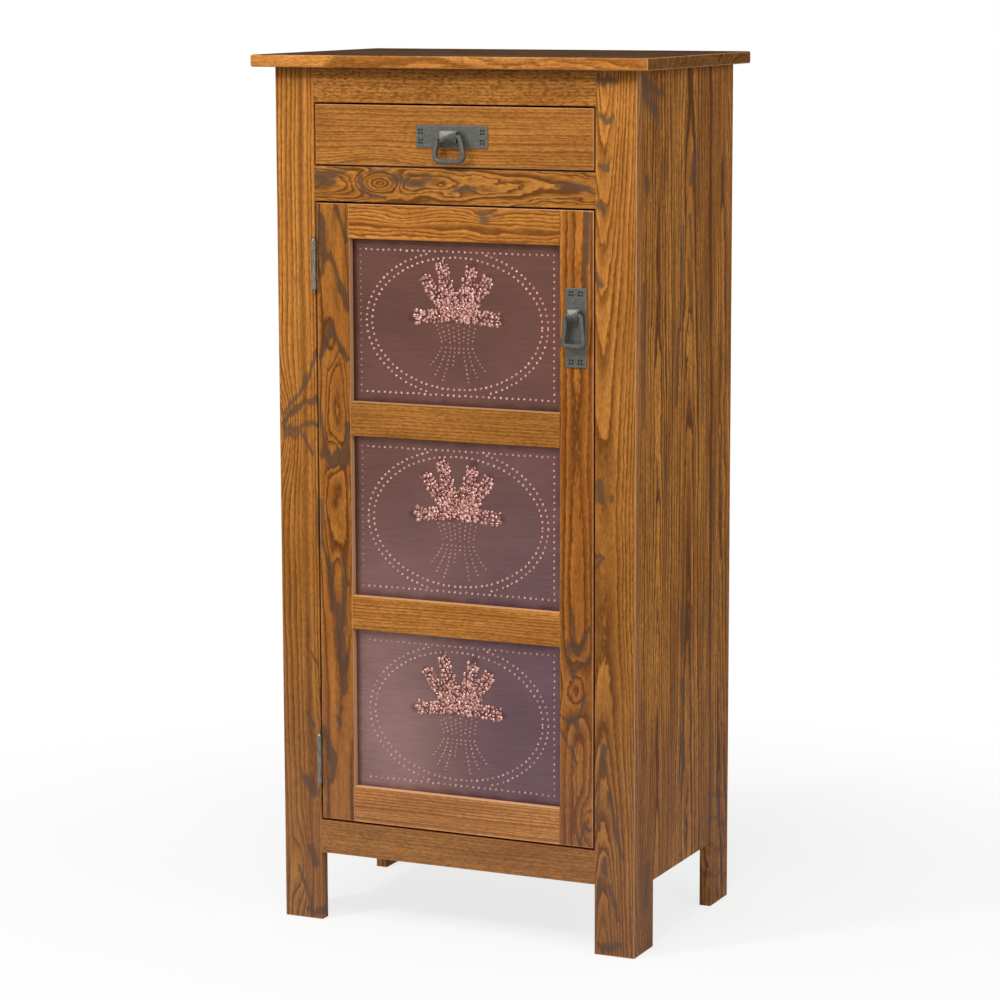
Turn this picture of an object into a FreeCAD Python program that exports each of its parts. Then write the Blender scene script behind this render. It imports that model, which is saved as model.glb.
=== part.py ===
import FreeCAD
import Part
import Sketcher
import itertools
import math
import os
import re
from collections import namedtuple

# A pie safe: one drawer over one door with three copper panels, in an oak case of boards and a
# face frame. Millimetres. X runs to the right, Y to the back and Z up. The origin is on the
# floor, at the middle of the top board's outline.

os.makedirs("parts", exist_ok=True)
doc = FreeCAD.newDocument("pie_safe")
sheet = doc.addObject("Spreadsheet::Sheet", "Sizes")
pieces = {}

# ---------------------------------------------------------------- sizes

DRIVING = {
    # case
    "case_width": 610.0,
    "case_depth": 402.0,
    "case_height": 1365.0,
    "stock": 19.0,                  # thickness of side boards, face frame and door frame
    "top_thickness": 19.0,
    "side_overhang": 28.5,
    "front_overhang": 27.0,
    "top_edge_radius": 3.0,
    "edge_radius": 1.0,
    "stile_width": 66.5,
    "rail_width": 54.0,
    "leg_clear": 111.5,             # floor to the underside of the bottom rail
    "leg_depth": 76.5,              # side view, front and back legs
    "arch_height": 107.0,           # foot cut-out in the side boards
    "back_thickness": 6.0,
    "back_lip": 9.0,                # rebate into the side board
    "floor_thickness": 19.0,
    "divider_thickness": 12.0,
    "housing_depth": 6.0,
    "stretcher_width": 70.0,
    "stretcher_thickness": 19.0,
    # joinery
    "tenon_thickness": 8.0,
    "tenon_length": 25.0,
    "tenon_inset": 10.0,
    "fit_gap": 0.15,                # room round tenons, panels and boards in their housings
    "seat_gap": 0.3,                # room where a moving piece comes to rest
    "reveal": 3.2,                  # gap round the drawer front and the door
    # shelves
    "shelf_thickness": 19.0,
    "shelf_setback": 22.0,
    "shelf_bevel": 1.5,
    "shelf_gap": 0.8,
    "cleat_width": 19.0,
    "cleat_height": 25.0,
    "cleat_setback": 20.0,
    # door
    "door_stile_width": 56.5,
    "door_rail_width": 54.0,
    "door_bottom_rail_width": 57.0,
    "copper_recess": 12.5,
    "copper_thickness": 0.9,
    "panel_lip": 8.0,
    "panel_play": 0.3,
    "mitre_gap": 0.2,
    "opening_chamfer": 1.3,
    "door_stop_length": 300.0,
    "door_stop_lap": 8.0,
    # catch
    "catch_height": 46.0,
    "catch_width": 17.0,
    "catch_depth": 15.0,
    "catch_flange": 20.0,
    "catch_flange_thickness": 2.5,
    "strike_height": 40.0,
    "strike_thickness": 1.2,
    "strike_inset": 1.0,
    # butt hinges
    "hinge_height": 76.0,
    "hinge_inset": 97.0,            # end of the door to the middle of the hinge
    "barrel_radius": 3.75,
    "barrel_proud": 0.4,            # room between barrel and wood, and between barrel and leaf
    "knuckle_gap": 0.4,
    "leaf_thickness": 2.0,
    "leaf_width": 16.5,
    "leaf_sink": 0.6,
    "hinge_pin_radius": 2.2,
    "hinge_pin_slack": 0.05,
    "tip_neck_radius": 1.3,
    "tip_neck_length": 4.2,
    "tip_bead_radius": 2.0,
    "tip_bead_length": 1.6,
    "tip_end_radius": 0.9,
    # drawer
    "drawer_opening": 99.0,
    "drawer_rear_room": 16.0,       # behind the closed drawer
    "drawer_side_thickness": 12.0,
    "drawer_side_drop": 3.0,
    "drawer_back_drop": 6.0,
    "drawer_back_inset": 8.0,
    "drawer_back_housing": 4.0,
    "drawer_bottom_thickness": 6.0,
    "groove_depth": 6.0,
    "groove_rise": 10.0,
    "drawer_play": 0.5,
    "dovetail_lap": 6.0,
    "dovetail_base": 18.0,
    "dovetail_flare": 2.0,
    "guide_height": 25.0,
    "kicker_width": 19.0,
    "kicker_gap": 1.0,
    "drawer_stop_size": 40.0,
    "drawer_stop_depth": 20.0,
    "drawer_stop_height": 7.5,
    "drawer_stop_spacing": 300.0,
    # pulls
    "door_pull_drop": 177.8,        # top of the door to the middle of its pull
    "door_boss_rise": 19.5,         # middle of the door's plate to the middle of its boss
    "plate_length": 121.0,
    "plate_width": 34.5,
    "plate_thickness": 2.5,
    "plate_bevel": 0.8,
    "pit_size": 3.0,
    "pit_pitch": 4.7,
    "pit_depth": 1.2,
    "pit_inset": 8.4,               # end of the plate to the middle of a group of pits
    "pit_spread": 7.6,              # middle of the plate to the middle of a group
    "boss_block": 13.0,             # depth of the boss before it narrows
    "boss_proud": 20.0,
    "boss_height": 18.0,
    "boss_tip": 3.0,
    "drawer_boss_width": 28.0,
    "door_boss_width": 17.0,
    "pivot_stand": 10.0,            # plate to the axis of the bail
    "pivot_radius": 2.0,
    "pivot_slack": 0.05,
    "pivot_engage": 5.0,
    "bail_chamfer": 2.0,
    "bail_shoulder": 3.9,
    "drawer_bail_bar": 7.0,
    "drawer_bail_top": 36.4,
    "drawer_bail_foot": 53.0,
    "drawer_bail_drop": 37.0,
    "drawer_bail_corner": 9.5,
    "door_bail_bar": 7.0,
    "door_bail_top": 24.8,
    "door_bail_foot": 33.4,
    "door_bail_drop": 46.5,
    "door_bail_corner": 5.0,
    "screw_radius": 2.0,
    "screw_slack": 0.05,
    "screw_room": 0.3,
    "screw_reach": 8.0,
    "screw_head_radius": 4.2,
    "screw_head_height": 2.4,
}

FORMULAS = {
    "case_half": "case_width / 2",
    "inside_half": "case_half - stock",
    "opening_half": "case_half - stile_width",
    "front_y": "(front_overhang - case_depth) / 2",
    "frame_back": "front_y + stock",
    "back_y": "front_y + case_depth",
    "back_inner": "back_y - back_thickness",
    "top_half": "case_half + side_overhang",
    "top_z": "case_height + top_thickness",
    "top_front": "front_y - front_overhang",
    "floor_top": "leg_clear + rail_width",
    "floor_under": "floor_top - floor_thickness",
    "tenon_front": "front_y + (stock - tenon_thickness) / 2",
    "tenon_rear": "tenon_front + tenon_thickness",
    "drawer_opening_high": "case_height - rail_width",
    "drawer_opening_low": "drawer_opening_high - drawer_opening",
    "door_opening_high": "drawer_opening_low - rail_width",
    "door_half": "opening_half - reveal",
    "door_low": "floor_top + reveal",
    "door_high": "door_opening_high - reveal",
    "panel_half": "door_half - door_stile_width",
    "panel_height": "(door_high - door_low - door_bottom_rail_width - 3 * door_rail_width) / 3",
    "panel_step": "panel_height + door_rail_width",
    "lip_half": "panel_half + panel_lip",
    "sheet_half": "lip_half - panel_play",
    "copper_front": "front_y + copper_recess",
    "copper_back": "copper_front + copper_thickness",
    "drawer_low": "drawer_opening_low + reveal",
    "drawer_high": "drawer_opening_high - reveal",
    "drawer_inner": "door_half - drawer_side_thickness",
    "drawer_side_top": "drawer_high - drawer_side_drop",
    "drawer_rear": "back_inner - drawer_rear_room",
    "drawer_back_rear": "drawer_rear - drawer_back_inset",
    "drawer_back_front": "drawer_back_rear - drawer_side_thickness",
    "groove_low": "drawer_low + groove_rise",
    "drawer_floor": "groove_low + drawer_bottom_thickness",
    "groove_high": "drawer_floor + fit_gap",
    "divider_top": "drawer_low - seat_gap",
    "divider_under": "divider_top - divider_thickness",
    "shelf_front": "frame_back + shelf_setback",
    "shelf_back": "back_inner - shelf_gap",
    "lower_rail_high": "door_low + door_bottom_rail_width + panel_step",
    "lower_shelf_top": "lower_rail_high + (shelf_thickness - door_rail_width) / 2",
    "upper_shelf_top": "lower_shelf_top + panel_step",
    "strike_back": "frame_back + strike_thickness",
    "drawer_pull_z": "(drawer_low + drawer_high) / 2",
    "drawer_pull_x": "0",
    "door_pull_x": "panel_half + door_stile_width / 2",
    "door_pull_z": "door_high - door_pull_drop",
    "drawer_boss_z": "drawer_pull_z",
    "door_boss_z": "door_pull_z + door_boss_rise",
    "plate_front": "front_y - plate_thickness",
    "pivot_y": "plate_front - pivot_stand",
    "hinge_x": "leaf_sink - door_half - barrel_radius",
    "hinge_y": "front_y - barrel_proud - barrel_radius",
    "case_leaf_left": "-(opening_half + leaf_sink)",
    "door_leaf_left": "leaf_sink - door_half - leaf_thickness",
    "knuckle_length": "(hinge_height - 4 * knuckle_gap) / 5",
    "lower_hinge_low": "door_low + hinge_inset - hinge_height / 2",
    "upper_hinge_low": "door_high - hinge_inset - hinge_height / 2",
}

for row, (name, content) in enumerate({**DRIVING, **FORMULAS}.items(), start=1):
    sheet.set(f"A{row}", name)
    sheet.set(f"B{row}", f"={content}" if name in FORMULAS else str(content))
    sheet.setAlias(f"B{row}", name)
doc.recompute()

PANELS = range(3)
RAILS = range(4)
HINGES = ("lower", "upper")
SIDES = {"left": -1, "right": 1}
START_RADIUS = 100      # ring on which an outline's corners stand until its sizes move them


def number(name):
    """Read one size, which may have a minus sign before it."""
    return -float(sheet.get(name[1:])) if name.startswith("-") else float(sheet.get(name))


def sized(formula):
    """Point every size name in a formula at the sheet."""
    return re.sub(r"[a-z][a-z_]*", lambda name: "Sizes." + name.group(), formula)


def mirrored(sign, near, far):
    """Give the low and high ends of a span that lies to one side of the middle."""
    return (near, far) if sign > 0 else (f"-({far})", f"-({near})")


# ---------------------------------------------------------------- drawing and extruding

Circle = namedtuple("Circle", "across up radius")


def rect(left, right, low, high):
    """List the corners of a rectangle."""
    return [(left, low), (right, low), (right, high), (left, high)]


def hold(sketch, formula, kind, *places):
    """Add a constraint whose value follows a formula."""
    index = sketch.addConstraint(Sketcher.Constraint(kind, *places, 1.0))
    sketch.setExpression(f"Constraints[{index}]", sized(formula))


def draw(sketch, outline):
    """Draw a circle, or straight lines through a list of corners."""
    first = sketch.GeometryCount
    if isinstance(outline, Circle):
        sketch.addGeometry(Part.Circle(FreeCAD.Vector(), FreeCAD.Vector(0, 0, 1), 1.0))
        hold(sketch, outline.across, "DistanceX", -1, 1, first, 3)
        hold(sketch, outline.up, "DistanceY", -1, 1, first, 3)
        hold(sketch, outline.radius, "Radius", first)
        return
    count = len(outline)
    turns = [2 * math.pi * index / count for index in range(count)]
    start = [FreeCAD.Vector(math.cos(turn), math.sin(turn), 0) * START_RADIUS for turn in turns]
    for index in range(count):
        sketch.addGeometry(Part.LineSegment(start[index], start[(index + 1) % count]))
    for index in range(count):
        following = first + (index + 1) % count
        sketch.addConstraint(Sketcher.Constraint("Coincident", first + index, 2, following, 1))
    for index, (across, up) in enumerate(outline):
        hold(sketch, across, "DistanceX", -1, 1, first + index, 1)
        hold(sketch, up, "DistanceY", -1, 1, first + index, 1)


def place_sketch(body, plane, level, outlines, across="0"):
    """Draw outlines parallel to one of the body's origin planes, at a level on its axis."""
    sketch = body.newObject("Sketcher::SketchObject", f"{body.Name}_sketch")
    sketch.AttachmentSupport = [(item, "") for item in body.Origin.OriginFeatures if item.Role == plane]
    sketch.MapMode = "FlatFace"
    towards = -1 if plane == "XZ_Plane" else 1
    sketch.setExpression("AttachmentOffset.Base.x", sized(across))
    sketch.setExpression("AttachmentOffset.Base.z", sized(f"{towards} * ({level})"))
    for outline in outlines:
        draw(sketch, outline)
    return sketch


def extrude(body, kind, plane, outlines, low, high):
    """Pad or pocket outlines between two levels on the plane's axis."""
    start = high if plane == "XZ_Plane" else low
    feature = body.newObject(f"PartDesign::{kind}", f"{body.Name}_{kind}")
    sketch = place_sketch(body, plane, start, outlines)
    feature.Profile = sketch
    feature.setExpression("Length", sized(f"({high}) - ({low})"))
    feature.Reversed = kind == "Pocket"
    body.Tip = feature


def pad(body, plane, outlines, low, high):
    extrude(body, "Pad", plane, outlines, low, high)


def cut(body, plane, outlines, low, high):
    extrude(body, "Pocket", plane, outlines, low, high)


def wedge(body, kind, front, front_face, back, back_face):
    """Add or take away a block whose front and back faces differ, each given as left, right, low, high."""
    feature = body.newObject(f"PartDesign::{kind}Wedge", f"{body.Name}_wedge")
    ends = ("Ymin", "Xmin", "Xmax", "Zmin", "Zmax", "Ymax", "X2min", "X2max", "Z2min", "Z2max")
    for end, formula in zip(ends, (front, *front_face, back, *back_face)):
        feature.setExpression(end, sized(formula))
    body.Tip = feature


def revolve(body, across, level, profile):
    """Turn a half profile, whose corners give radius and height, about an upright axis."""
    feature = body.newObject("PartDesign::Revolution", f"{body.Name}_turning")
    sketch = place_sketch(body, "XZ_Plane", level, [profile], across)
    feature.Profile = sketch
    feature.ReferenceAxis = (sketch, ["V_Axis"])
    body.Tip = feature


def dress(body, kind, amount, *lines):
    """Round or bevel the edges that lie on lines, each given by some of its coordinates."""
    doc.recompute()
    edges = []
    for line in lines:
        wanted = [(axis, number(where)) for axis, where in line.items()]
        for index, edge in enumerate(body.Shape.Edges, start=1):
            ends = [vertex.Point for vertex in edge.Vertexes]
            if all(abs(getattr(end, axis) - where) < 0.01 for end in ends for axis, where in wanted):
                edges.append(f"Edge{index}")
    base = body.Tip
    feature = body.newObject(f"PartDesign::{kind}", f"{body.Name}_{kind}")
    feature.Base = (base, edges)
    feature.setExpression("Radius" if kind == "Fillet" else "Size", sized(amount))
    body.Tip = feature


def new_body(label):
    """Start a piece."""
    body = doc.addObject("PartDesign::Body", label)
    body.Label = label
    pieces[label] = body
    return body


# ---------------------------------------------------------------- joinery shared by case and door


def tenon_section(low, high, slack):
    """Outline, seen from the side, of the tenon of a rail that spans low to high."""
    return rect(f"tenon_front - {slack}", f"tenon_rear + {slack}",
                f"{low} + tenon_inset - {slack}", f"{high} - tenon_inset + {slack}")


def frame_rail(label, half, low, high):
    """Make a rail with a tenon at each end."""
    body = new_body(label)
    pad(body, "XZ_Plane", [rect(f"-({half})", half, low, high)], "front_y", "frame_back")
    pad(body, "YZ_Plane", [tenon_section(low, high, "0")],
        f"-({half} + tenon_length)", f"{half} + tenon_length")
    return body


def cut_mortises(body, sign, edge, spans):
    """Cut a mortise into a stile's inner edge for each rail."""
    low, high = mirrored(sign, edge, f"{edge} + tenon_length + fit_gap")
    cut(body, "YZ_Plane", [tenon_section(*span, "fit_gap") for span in spans], low, high)


def cut_hinge_seats(body, low, high):
    """Let both hinges' leaves into an edge."""
    seats = [rect("front_y", "front_y + leaf_width + fit_gap",
                  f"{hinge}_hinge_low - fit_gap", f"{hinge}_hinge_low + hinge_height + fit_gap")
             for hinge in HINGES]
    cut(body, "YZ_Plane", seats, low, high)


# ---------------------------------------------------------------- case

CASE_RAILS = {
    "bottom_rail": ("leg_clear", "floor_top"),
    "middle_rail": ("door_opening_high", "drawer_opening_low"),
    "top_rail": ("drawer_opening_high", "case_height"),
}
SHELVES = ("lower_shelf", "upper_shelf")


def side_board(label, sign):
    """Make a side with its foot cut-out, housings and back rebate."""
    body = new_body(label)
    profile = [
        ("frame_back", "0"),
        ("front_y + leg_depth", "0"),
        ("front_y + leg_depth", "arch_height"),
        ("back_y - leg_depth", "arch_height"),
        ("back_y - leg_depth", "0"),
        ("back_y", "0"),
        ("back_y", "case_height"),
        ("frame_back", "case_height"),
    ]
    pad(body, "YZ_Plane", [profile], *mirrored(sign, "inside_half", "case_half"))
    housings = [rect("frame_back", "back_inner", "floor_under", "floor_top"),
                rect("frame_back", "back_inner", "divider_under", "divider_top")]
    cut(body, "YZ_Plane", housings, *mirrored(sign, "inside_half", "inside_half + housing_depth"))
    rebate = rect("back_inner", "back_y", "floor_under", "case_height")
    cut(body, "YZ_Plane", [rebate], *mirrored(sign, "inside_half", "inside_half + back_lip"))
    outer = "case_half" if sign > 0 else "-case_half"
    dress(body, "Fillet", "edge_radius", {"x": outer, "y": "back_y"})


def front_stile(label, sign):
    """Make a face frame stile, which runs down as a front leg."""
    body = new_body(label)
    low, high = mirrored(sign, "opening_half", "case_half")
    pad(body, "XZ_Plane", [rect(low, high, "0", "case_height")], "front_y", "frame_back")
    cut_mortises(body, sign, "opening_half", CASE_RAILS.values())
    if sign < 0:
        cut_hinge_seats(body, "-(opening_half + leaf_sink)", "-opening_half")
    outer = "case_half" if sign > 0 else "-case_half"
    dress(body, "Fillet", "edge_radius", {"x": outer, "y": "front_y"})


def top_board():
    body = new_body("top_board")
    pad(body, "XY_Plane", [rect("-top_half", "top_half", "top_front", "back_y")], "case_height", "top_z")
    edges = [{**side, "z": level} for level in ("case_height", "top_z")
             for side in ({"y": "top_front"}, {"x": "top_half"}, {"x": "-top_half"})]
    dress(body, "Fillet", "top_edge_radius", *edges)


def board(label, left, right, front, back, low, high):
    """Make a plain rectangular board."""
    body = new_body(label)
    pad(body, "XY_Plane", [rect(left, right, front, back)], low, high)
    return body


def case_boards():
    """Make the boards that close, floor and divide the case, and those that carry the drawer."""
    board("back_panel", "fit_gap - inside_half - back_lip", "inside_half + back_lip - fit_gap",
          "back_inner", "back_y", "floor_under", "case_height")
    housed = ("fit_gap - inside_half - housing_depth", "inside_half + housing_depth - fit_gap",
              "frame_back", "back_inner")
    board("bottom_board", *housed, "floor_under", "floor_top")
    board("drawer_divider", *housed, "divider_under", "divider_top")
    board("front_stretcher", "-inside_half", "inside_half",
          "frame_back", "frame_back + stretcher_width", "case_height - stretcher_thickness", "case_height")
    board("back_stretcher", "-inside_half", "inside_half",
          "back_inner - stretcher_width", "back_inner", "case_height - stretcher_thickness", "case_height")
    for side, sign in SIDES.items():
        board(f"{side}_drawer_guide", *mirrored(sign, "door_half + drawer_play", "inside_half"),
              "frame_back", "back_inner", "divider_top", "divider_top + guide_height")
        board(f"{side}_drawer_kicker", *mirrored(sign, "drawer_inner", "drawer_inner + kicker_width"),
              "frame_back", "back_inner",
              "drawer_side_top + kicker_gap", "case_height - stretcher_thickness")
    board("door_stop", "-door_stop_length / 2", "door_stop_length / 2",
          "frame_back + seat_gap", "frame_back + seat_gap + stock",
          "door_high - door_stop_lap", "divider_under")


def drawer_stops():
    """Make the two blocks on the divider that the drawer front comes to rest against."""
    body = new_body("drawer_stops")
    blocks = [rect(f"({sign} * drawer_stop_spacing - drawer_stop_size) / 2",
                   f"({sign} * drawer_stop_spacing + drawer_stop_size) / 2",
                   "frame_back + seat_gap", "frame_back + seat_gap + drawer_stop_depth")
              for sign in (-1, 1)]
    pad(body, "XY_Plane", blocks, "divider_top", "divider_top + drawer_stop_height")


def shelf_and_cleats(shelf):
    """Make a shelf and the two cleats on the sides that it lies on."""
    top, under = f"{shelf}_top", f"{shelf}_top - shelf_thickness"
    body = board(shelf, "shelf_gap - inside_half", "inside_half - shelf_gap",
                 "shelf_front", "shelf_back", under, top)
    dress(body, "Chamfer", "shelf_bevel", {"y": "shelf_front", "z": top})
    for side, sign in SIDES.items():
        board(f"{side}_{shelf}_cleat", *mirrored(sign, "inside_half - cleat_width", "inside_half"),
              "shelf_front + cleat_setback", "back_inner", f"{under} - cleat_height", under)


def catch_and_strike():
    """Make the magnetic catch behind the right stile and the plate on the door that it holds."""
    body = new_body("magnetic_catch")
    profile = [
        ("opening_half + fit_gap", "frame_back"),
        ("opening_half + catch_flange", "frame_back"),
        ("opening_half + catch_flange", "frame_back + catch_flange_thickness"),
        ("opening_half + catch_flange_thickness", "frame_back + catch_flange_thickness"),
        ("opening_half + catch_flange_thickness", "frame_back + catch_depth"),
        ("opening_half - catch_width", "frame_back + catch_depth"),
        ("opening_half - catch_width", "strike_back + seat_gap"),
        ("opening_half + fit_gap", "strike_back + seat_gap"),
    ]
    pad(body, "XY_Plane", [profile], "door_pull_z - catch_height / 2", "door_pull_z + catch_height / 2")
    strike = new_body("door_strike_plate")
    face = rect("opening_half - catch_width", "door_half - strike_inset",
                "door_pull_z - strike_height / 2", "door_pull_z + strike_height / 2")
    pad(strike, "XZ_Plane", [face], "frame_back", "strike_back")


# ---------------------------------------------------------------- hinges


def hinge_leaves(owner, knuckles):
    """Make the leaves of both hinges that are screwed to the case or the door, with their knuckles."""
    body = new_body(f"{owner}_hinge_leaves")
    left, right = f"{owner}_leaf_left", f"{owner}_leaf_left + leaf_thickness"
    plate_start = "hinge_y + barrel_radius + barrel_proud"
    for hinge in HINGES:
        low = f"{hinge}_hinge_low"
        pad(body, "XY_Plane", [rect(left, right, plate_start, "front_y + leaf_width")],
            low, f"{low} + hinge_height")
        for knuckle in knuckles:
            start = f"{low} + {knuckle} * (knuckle_length + knuckle_gap)"
            end = f"{start} + knuckle_length"
            pad(body, "XY_Plane", [rect(left, right, "hinge_y", plate_start)], start, end)
            pad(body, "XY_Plane", [Circle("hinge_x", "hinge_y", "barrel_radius")], start, end)
        cut(body, "XY_Plane", [Circle("hinge_x", "hinge_y", "hinge_pin_radius + hinge_pin_slack")],
            low, f"{low} + hinge_height")


def hinge_pins():
    """Make the pins of both hinges, each turned with a tapering tip and a bead at both ends."""
    body = new_body("hinge_pins")
    tip = [("hinge_pin_radius", "0"), ("barrel_radius", "0"), ("tip_neck_radius", "tip_neck_length"),
           ("tip_bead_radius", "tip_neck_length + tip_bead_length / 2"),
           ("tip_end_radius", "tip_neck_length + tip_bead_length"), ("0", "tip_neck_length + tip_bead_length")]
    for hinge in HINGES:
        low = f"{hinge}_hinge_low - seat_gap"
        high = f"{hinge}_hinge_low + hinge_height + seat_gap"
        profile = [(radius, f"{low} - ({height})") for radius, height in reversed(tip)]
        profile += [(radius, f"{high} + {height}") for radius, height in tip]
        revolve(body, "hinge_x", "hinge_y", profile)


# ---------------------------------------------------------------- door


def panel_span(panel):
    """Give the low and high edges of one of the door's openings, counted from the bottom."""
    low = f"door_low + door_bottom_rail_width + {panel} * panel_step"
    return low, f"{low} + panel_height"


def cut_opening(body, panel):
    """Rebate the back of an opening for its copper, and chamfer its front edges."""
    low, high = panel_span(panel)
    rebate = rect("-lip_half", "lip_half", f"{low} - panel_lip", f"{high} + panel_lip")
    cut(body, "XZ_Plane", [rebate], "copper_front", "frame_back")
    flared = ("-(panel_half + opening_chamfer)", "panel_half + opening_chamfer",
              f"{low} - opening_chamfer", f"{high} + opening_chamfer")
    wedge(body, "Subtractive", "front_y", flared,
          "front_y + opening_chamfer", ("-panel_half", "panel_half", low, high))


def door_rail_span(rail):
    """Give the low and high edges of one of the door's rails, counted from the bottom."""
    high = f"door_low + door_bottom_rail_width + {rail} * panel_step"
    width = "door_rail_width" if rail else "door_bottom_rail_width"
    return f"{high} - {width}", high


def door_stile(label, sign):
    body = new_body(label)
    low, high = mirrored(sign, "panel_half", "door_half")
    pad(body, "XZ_Plane", [rect(low, high, "door_low", "door_high")], "front_y", "frame_back")
    outer = "door_half" if sign > 0 else "-door_half"
    dress(body, "Fillet", "edge_radius", {"x": outer, "y": "front_y"},
          {"z": "door_high", "y": "front_y"}, {"z": "door_low", "y": "front_y"})
    cut_mortises(body, sign, "panel_half", [door_rail_span(rail) for rail in RAILS])
    if sign < 0:
        cut_hinge_seats(body, "-door_half", "leaf_sink - door_half")
    else:
        cut_screw_hole(body, "door")
    for panel in PANELS:
        cut_opening(body, panel)


def door_rails():
    for rail, name in zip(RAILS, ("bottom", "lower", "upper", "top")):
        body = frame_rail(f"door_{name}_rail", "panel_half", *door_rail_span(rail))
        for panel in PANELS:
            if panel in (rail - 1, rail):
                cut_opening(body, panel)
        if name in ("bottom", "top"):
            edge = "door_low" if name == "bottom" else "door_high"
            dress(body, "Fillet", "edge_radius", {"z": edge, "y": "front_y"})


def copper_panel(name, panel):
    """Make a copper sheet and the four mitred beads that hold it in its rebate."""
    low, high = panel_span(panel)
    outer_low = f"{low} - panel_lip + panel_play"
    outer_high = f"{high} + panel_lip - panel_play"
    body = new_body(f"{name}_copper_panel")
    pad(body, "XZ_Plane", [rect("-sheet_half", "sheet_half", outer_low, outer_high)],
        "copper_front", "copper_back")
    beads = new_body(f"{name}_panel_beads")
    bottom = [("mitre_gap - sheet_half", outer_low), ("sheet_half - mitre_gap", outer_low),
              ("panel_half - mitre_gap", low), ("mitre_gap - panel_half", low)]
    top = [("mitre_gap - sheet_half", outer_high), ("sheet_half - mitre_gap", outer_high),
           ("panel_half - mitre_gap", high), ("mitre_gap - panel_half", high)]
    sides = [[(f"{sign} * sheet_half", f"{outer_low} + mitre_gap"),
              (f"{sign} * panel_half", f"{low} + mitre_gap"),
              (f"{sign} * panel_half", f"{high} - mitre_gap"),
              (f"{sign} * sheet_half", f"{outer_high} - mitre_gap")] for sign in (-1, 1)]
    pad(beads, "XZ_Plane", [bottom, top, *sides], "copper_back", "frame_back")


# ---------------------------------------------------------------- pulls


def cut_screw_hole(body, kind):
    hole = Circle(f"{kind}_pull_x", f"{kind}_boss_z", "screw_radius + screw_room")
    cut(body, "XZ_Plane", [hole], "front_y", "frame_back")


def pull_plate(kind, along_x):
    """Make the back plate, with four groups of four square pits."""
    body = new_body(f"{kind}_pull_plate")
    x, z = f"{kind}_pull_x", f"{kind}_pull_z"
    across, up = ("plate_length", "plate_width") if along_x else ("plate_width", "plate_length")
    face = rect(f"{x} - {across} / 2", f"{x} + {across} / 2", f"{z} - {up} / 2", f"{z} + {up} / 2")
    pad(body, "XZ_Plane", [face], "plate_front", "front_y")
    dress(body, "Chamfer", "plate_bevel", {"y": "plate_front"})
    pits = []
    for end, side, row, column in itertools.product((-1, 1), repeat=4):
        far = f"{end} * (plate_length / 2 - pit_inset) + {column} * pit_pitch / 2"
        aside = f"{side} * pit_spread + {row} * pit_pitch / 2"
        pit_x, pit_z = (far, aside) if along_x else (aside, far)
        pits.append(rect(f"{x} + {pit_x} - pit_size / 2", f"{x} + {pit_x} + pit_size / 2",
                         f"{z} + {pit_z} - pit_size / 2", f"{z} + {pit_z} + pit_size / 2"))
    cut(body, "XZ_Plane", pits, "plate_front", "plate_front + pit_depth")
    hole = Circle(x, f"{kind}_boss_z", "screw_radius + screw_room")
    cut(body, "XZ_Plane", [hole], "plate_front", "front_y")


def pull_boss(kind):
    """Make the boss: a block that narrows to a blunt point, bored for the bail's pins and its screw."""
    body = new_body(f"{kind}_pull_boss")
    x, z = f"{kind}_pull_x", f"{kind}_boss_z"
    half = f"{kind}_boss_width / 2"
    foot = (f"{x} - {half}", f"{x} + {half}", f"{z} - boss_height / 2", f"{z} + boss_height / 2")
    tip = (f"{x} - boss_tip / 2", f"{x} + boss_tip / 2", f"{z} - boss_tip / 2", f"{z} + boss_tip / 2")
    pad(body, "XZ_Plane", [rect(*foot)], "plate_front - boss_block", "plate_front")
    wedge(body, "Additive", "plate_front - boss_proud", tip, "plate_front - boss_block", foot)
    bore = Circle("pivot_y", z, "pivot_radius + pivot_slack")
    depth = "pivot_engage + seat_gap"
    cut(body, "YZ_Plane", [bore], f"{x} - {half}", f"{x} - {half} + {depth}")
    cut(body, "YZ_Plane", [bore], f"{x} + {half} - ({depth})", f"{x} + {half}")
    hole = Circle(x, z, "screw_radius + screw_slack")
    cut(body, "XZ_Plane", [hole], "plate_front - screw_reach - seat_gap", "plate_front")


def pull_screw(kind):
    """Make the pan-head screw that holds a pull from behind."""
    body = new_body(f"{kind}_pull_screw")
    x, z = f"{kind}_pull_x", f"{kind}_boss_z"
    pad(body, "XZ_Plane", [Circle(x, z, "screw_radius")], "plate_front - screw_reach", "frame_back")
    pad(body, "XZ_Plane", [Circle(x, z, "screw_head_radius")], "frame_back", "frame_back + screw_head_height")


def bend_path(body, level, corners, radii):
    """Draw a line that faces the front, straight between corners and rounded at each."""
    path = place_sketch(body, "XZ_Plane", level, [])
    count = len(corners) - 1
    for index in range(count):
        path.addGeometry(Part.LineSegment(FreeCAD.Vector(index, 0, 0), FreeCAD.Vector(index + 1, 0, 0)))
    for index in range(count - 1):
        path.addConstraint(Sketcher.Constraint("Coincident", index, 2, index + 1, 1))
    for index, (across, up) in enumerate(corners):
        end = (index, 1) if index < count else (count - 1, 2)
        hold(path, across, "DistanceX", -1, 1, *end)
        hold(path, up, "DistanceY", -1, 1, *end)
    doc.recompute()
    for index, radius in enumerate(radii):
        arc = path.GeometryCount
        path.fillet(index, 2, number(radius), True, True)
        hold(path, radius, "Radius", arc)
    return path


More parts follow.
